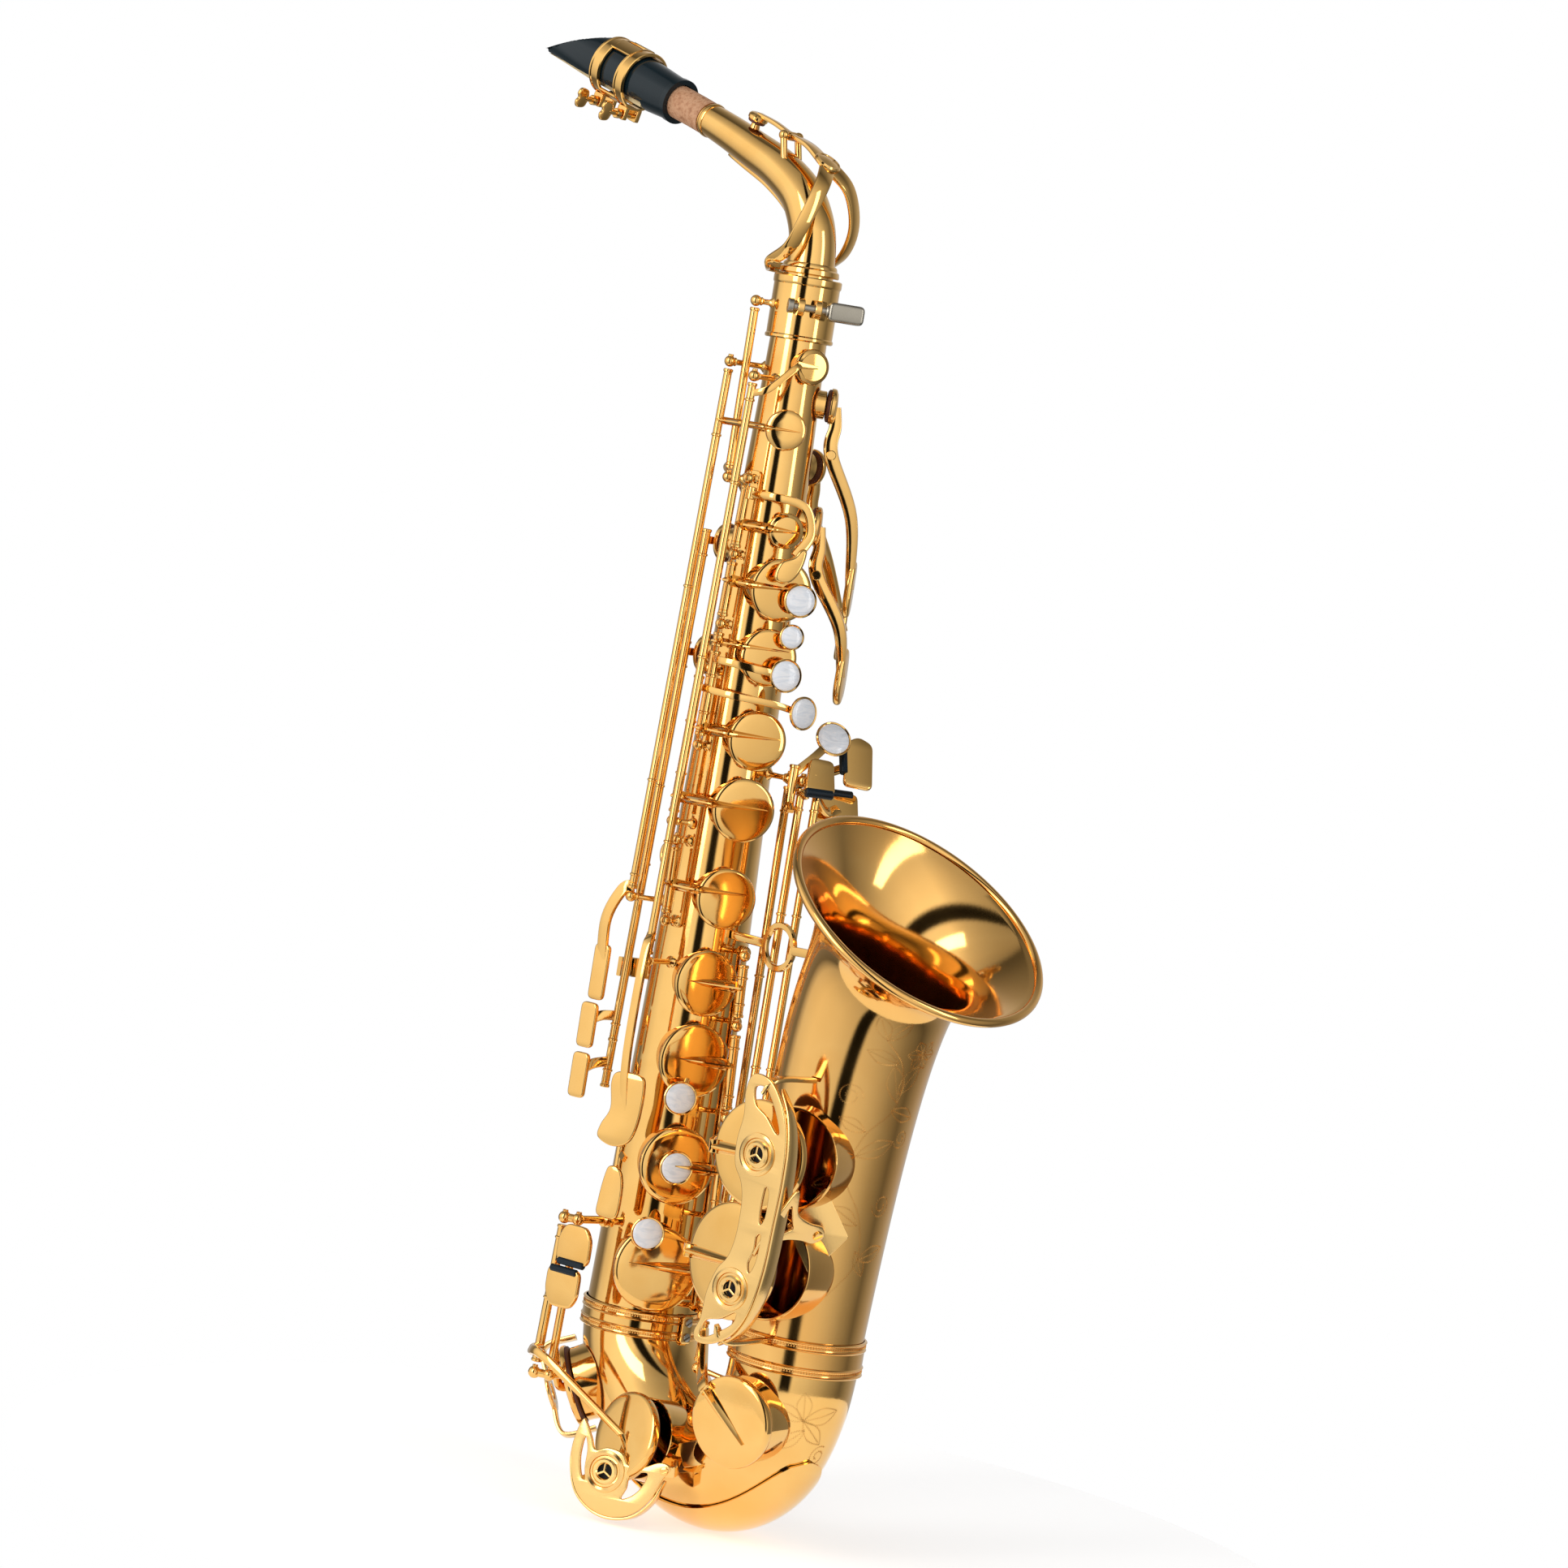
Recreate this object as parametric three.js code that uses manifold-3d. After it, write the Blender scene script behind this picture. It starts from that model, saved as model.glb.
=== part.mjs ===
// Alto saxophone, body tube upright along +Z, bell towards +X, the player's left hand side at +Y.
// Built about the body tube's axis, then moved so that the strap ring is the origin. Millimetres.
import * as THREE from "three";
import { mergeVertices } from "three/addons/utils/BufferGeometryUtils.js";
import Module from "manifold-3d";

const wasm = await Module();
wasm.setup();

// ---- driving dimensions ----
const WALL = 1.2;
const GAP = 0.3;
const TOLERANCE = 0.15;
const BODY = { bottom: -6.5, top: 455, radius: 26.4, taper: 0.0298 };
const BELL = { ferruleX: 109, ferruleZ: 6, lean: 0.8, ferruleRadius: 28.8, rimX: 143.3, rimZ: 204.3, cone: 7.8 };
const FLARE = { start: 0.77, power: 3.2 };
const HANDLES = { bellLow: 145.8, bellRim: 37.5, bowBody: 45, bowBell: 105 };
const RIM = { radius: 61.5, lean: 36.2, bead: 1.6 };
const NECK = { turn: 6, receiverTop: 477, radius: 11.4, endRadius: 6.4 };
const CHIMNEY = { height: 3, wall: 1.1, cupMargin: 1.7 };
const BELL_CHIMNEY_HEIGHT = 6;
const CUP = { thickness: 4.9, big: 6 };
const TUBE = { outer: 2.2, side: 1.9, post: 2.6, stem: 1.4 };
const STACK_LIFT = 3.2;
const BELL_LIFT = 8;
const PEARL = { holder: 7.3, radius: 6.3 };
const STRAP_RING = { z: 205, theta: 180, reach: 12 };

// tone holes on the body tube: height, direction round the body, radius of the key cup
const HOLES = {
  high_f_sharp: { z: 437, theta: -16, cup: 8.2 },
  high_e: { z: 407, theta: -38, cup: 9.3 },
  small_c: { z: 362, theta: -18, cup: 8.2 },
  b: { z: 335, theta: -13, cup: 14.4 },
  bis: { z: 304, theta: -16, cup: 13.2 },
  a: { z: 266, theta: -15, cup: 13.7 },
  g: { z: 234, theta: -18, cup: 14.6 },
  g_sharp: { z: 193, theta: -24, cup: 14 },
  f_sharp: { z: 154, theta: -30, cup: 15.2 },
  f: { z: 118.5, theta: -30, cup: 16.9 },
  e: { z: 70, theta: -31, cup: 17.8 },
  d: { z: 22, theta: -35, cup: 19.6 },
  palm_f: { z: 421, theta: 52, cup: 8.2 },
  palm_e_flat: { z: 392, theta: 92, cup: 8.6 },
  palm_d: { z: 366, theta: 48, cup: 9 },
  side_c: { z: 352, theta: -165, cup: 9 },
  side_b_flat: { z: 300, theta: -168, cup: 9.4 },
};

// ---- colours and materials ----
const lacquer = { color: 0xd9a04a, roughness: 0.22, metalness: 1 };
const FINISH = {
  brass: lacquer,
  bell: { color: 0xd79a42, roughness: 0.26, metalness: 1 },
  nickel: { color: 0xaaa596, roughness: 0.4, metalness: 1 },
  pearl: { color: 0xe6e8ea, roughness: 0.25, metalness: 0 },
  ebonite: { color: 0x10161f, roughness: 0.25, metalness: 0 },
  cane: { color: 0xd8bd85, roughness: 0.7, metalness: 0 },
  cork: { color: 0xb9765a, roughness: 0.9, metalness: 0 },
};

// ---- vectors ----
const vec = (x, y, z) => new THREE.Vector3(x, y, z);
const UP = vec(0, 0, 1);
const radians = THREE.MathUtils.degToRad;
const around = (deg) => vec(Math.cos(radians(deg)), Math.sin(radians(deg)), 0);
const tangent = (deg) => around(deg + 90);
const bodyRadius = (z) => BODY.radius - BODY.taper * z;
const onBody = (z, theta, height) => around(theta).multiplyScalar(bodyRadius(z) + height).setZ(z);
const mix = (a, b, t) => a.clone().lerp(b, t);
const add = (a, b, scale = 1) => a.clone().addScaledVector(b, scale);

// A hinge line through two points, and its point at a height.
function line(low, high) {
  const direction = high.clone().sub(low).normalize();
  return { direction, at: (z) => add(low, direction, (z - low.z) / direction.z) };
}

// ---- solids ----
function solid(geometry) {
  const loose = geometry.index ? geometry.toNonIndexed() : geometry;
  const bare = new THREE.BufferGeometry().setAttribute("position", loose.getAttribute("position"));
  const merged = mergeVertices(bare, 1e-4);
  const vertProperties = merged.attributes.position.array;
  const triVerts = new Uint32Array(merged.index.array);
  const made = new wasm.Manifold(new wasm.Mesh({ numProp: 3, vertProperties, triVerts }));
  if (made.volume() > 0) return made;
  for (let i = 0; i < triVerts.length; i += 3) {
    [triVerts[i + 1], triVerts[i + 2]] = [triVerts[i + 2], triVerts[i + 1]];
  }
  return new wasm.Manifold(new wasm.Mesh({ numProp: 3, vertProperties, triVerts }));
}

const join = (...shapes) => shapes.flat(Infinity).reduce((whole, shape) => whole.add(shape));

function cut(shape, ...tools) {
  return tools.flat(Infinity).reduce((left, tool) => left.subtract(tool), shape);
}

function basis(origin, x, y, z) {
  return new THREE.Matrix4().makeBasis(x, y, z).setPosition(origin);
}

// A frame whose Y axis is the given direction.
function frameAlong(origin, direction) {
  const turn = new THREE.Quaternion().setFromUnitVectors(vec(0, 1, 0), direction.clone().normalize());
  return new THREE.Matrix4().makeRotationFromQuaternion(turn).setPosition(origin);
}

function rod(from, to, radius, sides = 6, endRadius = radius) {
  const length = from.distanceTo(to);
  const shape = new THREE.CylinderGeometry(endRadius, radius, length, sides);
  return solid(shape.applyMatrix4(frameAlong(mix(from, to, 0.5), to.clone().sub(from))));
}

function ball(center, radius) {
  return solid(new THREE.SphereGeometry(radius, 6, 3).translate(center.x, center.y, center.z));
}

// A turned solid: profile of [radius, height] pairs from axis to axis, standing on a point.
function turned(profile, origin, direction, sides = 12) {
  const points = profile.map(([r, y]) => new THREE.Vector2(r, y));
  return solid(new THREE.LatheGeometry(points, sides).applyMatrix4(frameAlong(origin, direction)));
}

// A flat bar between two points, its thickness along the normal, tapering to endWidth.
function bar(from, to, width, thickness, normal, endWidth = width) {
  const along = to.clone().sub(from);
  const length = along.length();
  along.normalize();
  const across = normal.clone().cross(along).normalize();
  const shape = new THREE.BoxGeometry(length, 1, thickness);
  const places = shape.getAttribute("position");
  for (let i = 0; i < places.count; i += 1) {
    places.setY(i, places.getY(i) * (places.getX(i) < 0 ? width : endWidth));
  }
  return solid(shape.applyMatrix4(basis(mix(from, to, 0.5), along, across, along.clone().cross(across))));
}

// Flat bars through a list of points, each run a little into the next.
function strap(points, width, thickness, normal) {
  return points.slice(1).map((to, i) => {
    const from = points[i];
    const reach = to.clone().sub(from).normalize().multiplyScalar(thickness / 2);
    return bar(add(from, reach, -1), add(to, reach), width, thickness, normal);
  });
}

// A flat plate of an outline drawn in two directions, centred on its thickness.
function plate(outline, thickness, origin, x, y, curveSegments = 5) {
  const shape = new THREE.ExtrudeGeometry(outline, { depth: thickness, bevelEnabled: false, curveSegments });
  shape.translate(0, 0, -thickness / 2);
  return solid(shape.applyMatrix4(basis(origin, x, y, x.clone().cross(y))));
}

function roundedOutline(width, height, corner) {
  const [w, h] = [width / 2, height / 2];
  const outline = new THREE.Shape();
  outline.moveTo(-w + corner, -h);
  outline.absarc(w - corner, -h + corner, corner, -Math.PI / 2, 0);
  outline.absarc(w - corner, h - corner, corner, 0, Math.PI / 2);
  outline.absarc(-w + corner, h - corner, corner, Math.PI / 2, Math.PI);
  outline.absarc(-w + corner, -h + corner, corner, Math.PI, 1.5 * Math.PI);
  return outline;
}

function circleOutline(x, y, radius) {
  return new THREE.Path().absarc(x, y, radius, 0, 2 * Math.PI);
}

// A round solid whose centre follows a curve in the XZ plane, its radius given along the curve.
function bent(curve, radiusAt, steps, sides, start = 0, end = 1) {
  const shape = new THREE.CylinderGeometry(1, 1, 1, sides, steps);
  const places = shape.getAttribute("position");
  const side = vec(0, 1, 0);
  for (let i = 0; i < places.count; i += 1) {
    const t = start + (places.getY(i) + 0.5) * (end - start);
    const [center, ahead] = [curve.getPointAt(t), curve.getTangentAt(t)];
    const out = side.clone().cross(ahead);
    const radius = radiusAt(t);
    center.addScaledVector(side, places.getX(i) * radius).addScaledVector(out, places.getZ(i) * radius);
    places.setXYZ(i, center.x, center.y, center.z);
  }
  return solid(shape);
}

// ---- the assembly ----
const saxophone = new THREE.Group();

function part(name, shape, finish, hinge = null, group = saxophone) {
  const made = shape.asOriginal().simplify(TOLERANCE).getMesh();
  const geometry = new THREE.BufferGeometry();
  geometry.setAttribute("position", new THREE.BufferAttribute(new Float32Array(made.vertProperties), 3));
  geometry.setIndex(new THREE.BufferAttribute(new Uint32Array(made.triVerts), 1));
  geometry.computeVertexNormals();
  const mesh = new THREE.Mesh(geometry, new THREE.MeshStandardMaterial(FINISH[finish]));
  mesh.name = name;
  mesh.userData.hinge = hinge;
  group.add(mesh);
  return mesh;
}

// ---- key building ----
// A tone hole: where it is, which way it faces, and how far its rim stands from the tube.
function bodyHole({ z, theta, cup }) {
  const radius = cup - CHIMNEY.cupMargin;
  const facing = around(theta);
  return { facing, radius, cup, seat: onBody(z, theta, CHIMNEY.height), root: onBody(z, theta, -WALL - 8) };
}

const hole = Object.fromEntries(Object.entries(HOLES).map(([name, place]) => [name, bodyHole(place)]));
const HOLE_SIDES = 10;
const chimney = ({ root, seat, radius }) => rod(root, seat, radius, HOLE_SIDES);
const bore = ({ root, seat, facing, radius }) => {
  return rod(root, add(seat, facing), radius - CHIMNEY.wall, HOLE_SIDES);
};

function cup({ seat, facing, cup: radius }, thickness = CUP.thickness) {
  const rim = thickness - 1.3;
  const profile = [[0, 0], [radius - 1, 0], [radius, 0.8], [radius, rim], [radius - 1.6, thickness - 0.3]];
  return turned([...profile, [0, thickness]], add(seat, facing, GAP), facing);
}

const cupTop = ({ seat, facing }, thickness = CUP.thickness) => add(seat, facing, GAP + thickness - 0.4);

// How far a hinge turns to lift a cup by a given amount, signed about the hinge line.
function liftAngle(hinge, place, lift) {
  const arm = place.seat.clone().sub(hinge.at(place.seat.z));
  const motion = hinge.direction.clone().cross(arm);
  return lift / motion.dot(place.facing);
}

function turnAbout(shape, hinge, angle) {
  const origin = hinge.at(0);
  const turn = new THREE.Matrix4().makeRotationAxis(hinge.direction, angle);
  const move = new THREE.Matrix4().makeTranslation(origin.x, origin.y, origin.z);
  const back = new THREE.Matrix4().makeTranslation(-origin.x, -origin.y, -origin.z);
  return shape.transform(move.multiply(turn).multiply(back).elements);
}

// A key that rests open: drawn closed, then turned open. Its joint closes it.
function openKey(name, hinge, place, lift, shape, riders = {}) {
  const angle = liftAngle(hinge, place, lift);
  const spread = (solidShape) => turnAbout(solidShape, hinge, angle);
  const motion = { line: hinge, turn: -angle, rests: "open" };
  part(name, spread(shape), "brass", motion);
  for (const [rider, riderShape] of Object.entries(riders)) part(rider, spread(riderShape), "pearl");
}

// A key that rests closed. Its joint opens it.
function closedKey(name, hinge, place, lift, shape) {
  part(name, shape, "brass", { line: hinge, turn: liftAngle(hinge, place, lift), rests: "closed" });
}

const keyTube = (hinge, low, high, radius = TUBE.outer) => rod(hinge.at(low), hinge.at(high), radius);

// A cup's arm: from its hinge tube to just past the cup's middle, over the cup's edge where the tube lies lower.
function cupArm(hinge, place, z, width = 4, overEdge = false) {
  const from = hinge.at(z);
  const top = cupTop(place).setZ(z);
  if (!overEdge) return bar(from, mix(from, top, 1.22), width, 1.8, place.facing, 1.6);
  const side = from.clone().sub(top);
  side.addScaledVector(place.facing, -side.dot(place.facing)).setZ(0).normalize();
  const knee = add(top, side, place.cup + 1.2);
  return [
    strap([from, knee], width, 1.8, side),
    bar(add(knee, side, 0.8), add(top, side, -0.3 * place.cup), width, 1.8, place.facing, 1.8),
  ];
}

function post(foot, head) {
  return [rod(foot, head, TUBE.stem, 5), ball(head, TUBE.post)];
}

// A round button on a key: a shallow holder, and the pearl that sits in it.
function pearlHolder(center, facing, size = 1) {
  const r = PEARL.holder * size;
  return turned([[0, 0], [r, 0], [r, 2.3], [r - 0.7, 2.3], [r - 0.7, 1.1], [0, 1.1]], center, facing, 12);
}

// The short pillar that carries a pearl holder.
function stalk(button, facing, from) {
  return rod(from, add(button, facing, 0.1), 1.5, 5);
}

function pearl(center, facing, size = 1) {
  const r = PEARL.radius * size;
  const profile = [[0, 0], [r, 0], [r, 1], [r * 0.8, 1.6], [0, 1.9]];
  return turned(profile, add(center, facing, 1.1 + GAP), facing, 12);
}

// ---- body tube ----
const U1 = line(vec(6, -27.6, 216), vec(6.4, -22.1, 377));
const U2 = line(vec(0.5, -29.4, 226), vec(0.8, -27.3, 290));
const GS = line(vec(7, -29.9, 184), vec(5.7, -29.3, 213));
const LS = line(vec(44.1, -2.8, 22), vec(36.4, -3.6, 154));
const R1A = line(vec(-17.5, -31.5, 192), vec(-14.5, -26.2, 428));
const OCTAVE = line(vec(-9, -21, 385), vec(-9, -21, 460));
const R2A = line(vec(8.7, -38, 161), vec(8.4, -29.8, 423));
const TABLE_POST = 251;
const T1 = line(vec(37, 7, 14), vec(28.5, 12, 252));
const T2 = line(vec(52, -1, 50), vec(34.5, 15, 252));
const T3 = line(vec(63, -2, 10), vec(37, 22.5, 252));

const BODY_SIDES = 20;

function bodyTube() {
  const place = (z) => vec(0, 0, z);
  const outer = rod(place(BODY.bottom), place(BODY.top), bodyRadius(BODY.bottom), BODY_SIDES, bodyRadius(BODY.top));
  const inner = rod(
    place(BODY.bottom - 1), place(BODY.top + 1),
    bodyRadius(BODY.bottom - 1) - WALL, BODY_SIDES, bodyRadius(BODY.top + 1) - WALL,
  );
  const holes = Object.values(hole);
  const sidePosts = [
    post(onBody(434, -140, -0.6), R1A.at(434)),
    post(onBody(186, -119, -0.6), R1A.at(186)),
    post(onBody(382, -115, -0.6), OCTAVE.at(382)),
    post(onBody(429, -74, -0.6), R2A.at(429)),
    post(onBody(160, -76, -0.6), R2A.at(160)),
  ];
  const tablePosts = [
    post(onBody(TABLE_POST, 30, -0.6), T1.at(TABLE_POST)),
    bar(T1.at(TABLE_POST), T2.at(TABLE_POST), 3, 3, UP),
    bar(T2.at(TABLE_POST), T3.at(TABLE_POST), 3, 3, UP),
    ball(T2.at(TABLE_POST), TUBE.post),
    ball(T3.at(TABLE_POST), TUBE.post),
    post(onBody(8, 42, -0.6), T1.at(8)),
  ];
  return cut(join(outer, holes.map(chimney), sidePosts, tablePosts), inner, holes.map(bore));
}

part("body_tube", bodyTube(), "brass");

// Ribs soldered along the body, with the posts that carry each stack of keys.
function rib(theta, low, high, width, posts) {
  const lift = GAP + 0.75;
  const strip = bar(onBody(low, theta, lift), onBody(high, theta, lift), width, 1.2, around(theta));
  return join(strip, posts.map(({ z, hinge }) => post(onBody(z, theta, lift), hinge.at(z))));
}

const upperPosts = [383, 348, 316, 260].map((z) => ({ z, hinge: U1 }));
const gPosts = [295, 224].map((z) => ({ z, hinge: U2 }));
const gSharpPosts = [216, 179].map((z) => ({ z, hinge: GS }));
const lowerPosts = [169, 137, 95, 47, 5].map((z) => ({ z, hinge: LS }));
part("upper_stack_rib", rib(-77, 176, 387, 6, [...upperPosts, ...gPosts, ...gSharpPosts]), "brass");
part("lower_stack_rib", rib(21, 3.5, 172, 5, lowerPosts), "brass");

// ---- left hand stack ----
const facingAudience = (deg) => around(deg).add(vec(0, 0, 0.04)).normalize();

function smallCKey() {
  const place = hole.small_c;
  const shape = join(keyTube(U1, 351, 379.5), cup(place), cupArm(U1, place, 362, 4, true));
  openKey("small_c_key", U1, place, 2.4, shape);
}

function bKey() {
  const place = hole.b;
  const button = add(cupTop(place), vec(3.2, 7, -3.2), 1).addScaledVector(place.facing, 2.4);
  const facing = facingAudience(-14);
  const shape = join(
    keyTube(U1, 319.5, 344.5), cup(place), cupArm(U1, place, 336, 4, true),
    stalk(button, facing, add(cupTop(place), vec(-1, 5, -2))),
    pearlHolder(button, facing),
  );
  openKey("b_key", U1, place, STACK_LIFT, shape, { b_pearl: pearl(button, facing) });
}

function bisKey() {
  const place = hole.bis;
  const button = add(cupTop(place), vec(1.6, 7.2, 11), 1).addScaledVector(place.facing, 3.8);
  const facing = facingAudience(-14);
  const shape = join(
    keyTube(U1, 305.5, 312), cup(place), cupArm(U1, place, 308, 3, true),
    stalk(button, facing, add(cupTop(place), vec(-1, 4, 7))),
    pearlHolder(button, facing, 0.76),
  );
  openKey("bis_key", U1, place, STACK_LIFT, shape, { bis_pearl: pearl(button, facing, 0.74) });
}

function aKey() {
  const place = hole.a;
  const facing = facingAudience(-10);
  const button = vec(33.2, -3.4, 297.5);
  const knee = vec(20, -28.6, 300);
  const bend = vec(32, -16, 298.5);
  const shape = join(
    keyTube(U1, 264.5, 303.5), cup(place), cupArm(U1, place, 268, 4, true),
    strap([U1.at(300), knee, bend, add(button, facing, -0.6)], 3.2, 1.8, vec(1, -0.6, 0)),
    pearlHolder(button, facing),
  );
  openKey("a_key", U1, place, STACK_LIFT, shape, { a_pearl: pearl(button, facing) });
}

function gKey() {
  const place = hole.g;
  const facing = facingAudience(6);
  const button = vec(32.4, 9.4, 281.6);
  const path = [U2.at(287), vec(6, -29.3, 286.5), vec(11, -28.2, 286), vec(24, -22, 285), vec(31, -6, 284), add(button, facing, -0.6)];
  const shape = join(
    keyTube(U2, 228, 291.2), cup(place), cupArm(U2, place, 235.5, 4, true),
    strap(path, 3, 1.8, vec(1, -0.6, 0)),
    pearlHolder(button, facing),
  );
  openKey("g_key", U2, place, STACK_LIFT, shape, { g_pearl: pearl(button, facing) });
}

function gSharpKey() {
  const place = hole.g_sharp;
  const shape = join(keyTube(GS, 182.6, 212.6), cup(place), cupArm(GS, place, 196, 4, true));
  closedKey("g_sharp_key", GS, place, STACK_LIFT, shape);
}

smallCKey();
bKey();
bisKey();
aKey();
gKey();
gSharpKey();

// ---- right hand stack ----
function lowerKey(name, place, low, high, armZ, extras = [], riders = {}) {
  const shape = join(keyTube(LS, low, high), cup(place), cupArm(LS, place, armZ), extras);
  openKey(name, LS, place, STACK_LIFT, shape, riders);
}

function lowerButton(center, facing, from) {
  return [pearlHolder(center, facing), stalk(center, facing, from)];
}

function rightHandStack() {
  lowerKey("f_sharp_key", hole.f_sharp, 141, 165, 154.5);
  const face = facingAudience(-38);
  const fButton = onBody(101.5, -40, 11.5);
  lowerKey("f_key", hole.f, 99, 133, 119, lowerButton(fButton, face, onBody(110, -34, 7.2)), {
    f_pearl: pearl(fButton, face),
  });
  const eButton = onBody(69.5, -33, 8.6);
  lowerKey("e_key", hole.e, 51, 91, 70.5, lowerButton(eButton, face, onBody(69.5, -33, 6.5)), {
    e_pearl: pearl(eButton, face),
  });
  const dButton = onBody(38.5, -47, 11.4);
  lowerKey("d_key", hole.d, 9, 43, 24, lowerButton(dButton, face, onBody(33, -42, 7.4)), {
    d_pearl: pearl(dButton, face),
  });
}

rightHandStack();

// ---- bell, bow and ferrules ----
const leanBy = (deg) => vec(Math.sin(radians(deg)), 0, Math.cos(radians(deg)));

const bellStart = vec(BELL.ferruleX, 0, BELL.ferruleZ);
const rimCenter = vec(BELL.rimX, 0, BELL.rimZ);
const bellCurve = new THREE.CubicBezierCurve3(
  bellStart, add(bellStart, leanBy(BELL.lean), HANDLES.bellLow),
  add(rimCenter, leanBy(RIM.lean), -HANDLES.bellRim), rimCenter,
);

// Radius along the bell: a gentle cone that turns into the flare near the rim.
function bellRadius(t) {
  const flare = Math.max(0, (t - FLARE.start) / (1 - FLARE.start)) ** FLARE.power;
  return BELL.ferruleRadius + BELL.cone * t + (RIM.radius - BELL.ferruleRadius - BELL.cone) * flare;
}

const bowEnd = add(bellStart, leanBy(BELL.lean), -3);
const bowCurve = new THREE.CubicBezierCurve3(
  vec(0, 0, BODY.bottom - GAP), vec(0, 0, BODY.bottom - HANDLES.bowBody),
  add(bowEnd, leanBy(BELL.lean), -HANDLES.bowBell), bowEnd,
);
const bowRadius = (t) => bodyRadius(BODY.bottom) + (BELL.ferruleRadius - bodyRadius(BODY.bottom)) * t;

// Frame on a bent tube at curve position t: the way round is measured from +X, in the tube's cross-section.
function bentHole(curve, radiusAt, t, deg, rise, cupRadius, height = BELL_CHIMNEY_HEIGHT) {
  const [center, ahead] = [curve.getPointAt(t), curve.getTangentAt(t)];
  const side = vec(0, 1, 0);
  const out = side.clone().cross(ahead);
  const facing = out.multiplyScalar(Math.cos(radians(deg))).addScaledVector(side, Math.sin(radians(deg)));
  facing.addScaledVector(ahead, rise).normalize();
  const tube = radiusAt(t);
  return {
    facing, ahead, center, cup: cupRadius, radius: cupRadius - CHIMNEY.cupMargin,
    seat: add(center, facing, tube + height), root: add(center, facing, tube * 0.45),
  };
}

const lowB = bentHole(bellCurve, bellRadius, 0.43, -69, 0, 24.2);
const lowBFlat = bentHole(bellCurve, bellRadius, 0.185, -76, 0, 26);
const lowCSharp = bentHole(bowCurve, bowRadius, 0.84, -74, 0, 20.6);
const lowC = bentHole(bowCurve, bowRadius, 0.43, -102, 0, 20.4);
const lowEFlat = bentHole(bowCurve, bowRadius, 0.128, -42, 0, 19, 4.2);

const BELL_SIDES = 22;
const LOW_C_SHARP_HINGE = line(vec(64, -17, -30), vec(64, -17, 6));

function bellShape() {
  const outer = bent(bellCurve, bellRadius, 10, BELL_SIDES);
  const inner = bent(bellCurve, (t) => bellRadius(t) - WALL, 10, BELL_SIDES, 0.0001, 0.9999);
  const lean = leanBy(BELL.lean);
  const lowBore = rod(add(bellStart, lean, -1), add(bellStart, lean, 1), BELL.ferruleRadius - WALL, BELL_SIDES);
  const mouth = rod(add(rimCenter, leanBy(RIM.lean), -0.6), add(rimCenter, leanBy(RIM.lean), 2), RIM.radius - 2, BELL_SIDES);
  const footPosts = [
    post(vec(82.5, -4, 28), T3.at(20)),
    post(vec(83, -9.5, 54), T2.at(54)),
    post(vec(85.5, -13, 24), LOW_C_SHARP_HINGE.at(9.6)),
  ];
  const whole = join(outer, chimney(lowB), chimney(lowBFlat), footPosts);
  return cut(whole, inner, lowBore, mouth, bore(lowB), bore(lowBFlat));
}

function bowShape() {
  const outer = bent(bowCurve, bowRadius, 12, BELL_SIDES);
  const inner = bent(bowCurve, (t) => bowRadius(t) - WALL, 12, BELL_SIDES, 0.0001, 0.9999);
  const bodyEnd = rod(vec(0, 0, BODY.bottom - 3), vec(0, 0, BODY.bottom + 3), bodyRadius(BODY.bottom) - WALL, BELL_SIDES);
  const bellEnd = rod(add(bowEnd, leanBy(BELL.lean), -3), add(bowEnd, leanBy(BELL.lean), 3), BELL.ferruleRadius - WALL, BELL_SIDES);
  const rings = [lowCSharp, lowC, lowEFlat];
  const hingePost = post(vec(83.5, -9, -18), LOW_C_SHARP_HINGE.at(-15.2));
  return cut(join(outer, rings.map(chimney), hingePost), inner, bodyEnd, bellEnd, rings.map(bore));
}

part("bell", bellShape(), "bell");
part("body_bow", bowShape(), "brass");

function ferrule(center, direction, radius, low, high) {
  const [inside, outside] = [radius + GAP + 0.15, radius + 1.5];
  const bead = outside + 0.9;
  const profile = [
    [inside, low], [bead, low], [bead, low + 2.4], [outside, low + 3], [outside, high - 3],
    [bead, high - 2.4], [bead, high], [inside, high], [inside, low],
  ];
  return turned(profile, center, direction, BELL_SIDES);
}

part("body_bow_ferrule", ferrule(vec(0, 0, BODY.bottom), UP, bodyRadius(BODY.bottom) + 2, -5, 7.4), "brass");
part("bell_bow_ferrule", ferrule(bellStart, leanBy(BELL.lean), BELL.ferruleRadius + 0.55, -9, 7), "brass");

// ---- side keys, right hand ----
const SC = line(vec(-21, -28, 60), vec(-20, -19, 360));
const SB = line(vec(-25, -24.5, 60), vec(-24, -15.5, 360));

function touchPlate(center, facing, width, height, thickness = 2.2, lengthways = UP) {
  const across = lengthways.clone().cross(facing).normalize();
  const upward = facing.clone().cross(across).normalize();
  return plate(roundedOutline(width, height, Math.min(width, height) * 0.32), thickness, center, across, upward, 2);
}

function highEKey() {
  const touch = vec(-26, -36, 149);
  const shape = join(
    keyTube(R1A, 189.5, 430.5, TUBE.side),
    cup(hole.high_e), cupArm(R1A, hole.high_e, 407, 3, true),
    strap([R1A.at(198), vec(-23.5, -36, 188), vec(-26.5, -37, 168), touch], 5, 2, around(-120)),
    touchPlate(touch, around(-115), 8, 26),
  );
  closedKey("high_e_key", R1A, hole.high_e, 3, shape);
}

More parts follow.
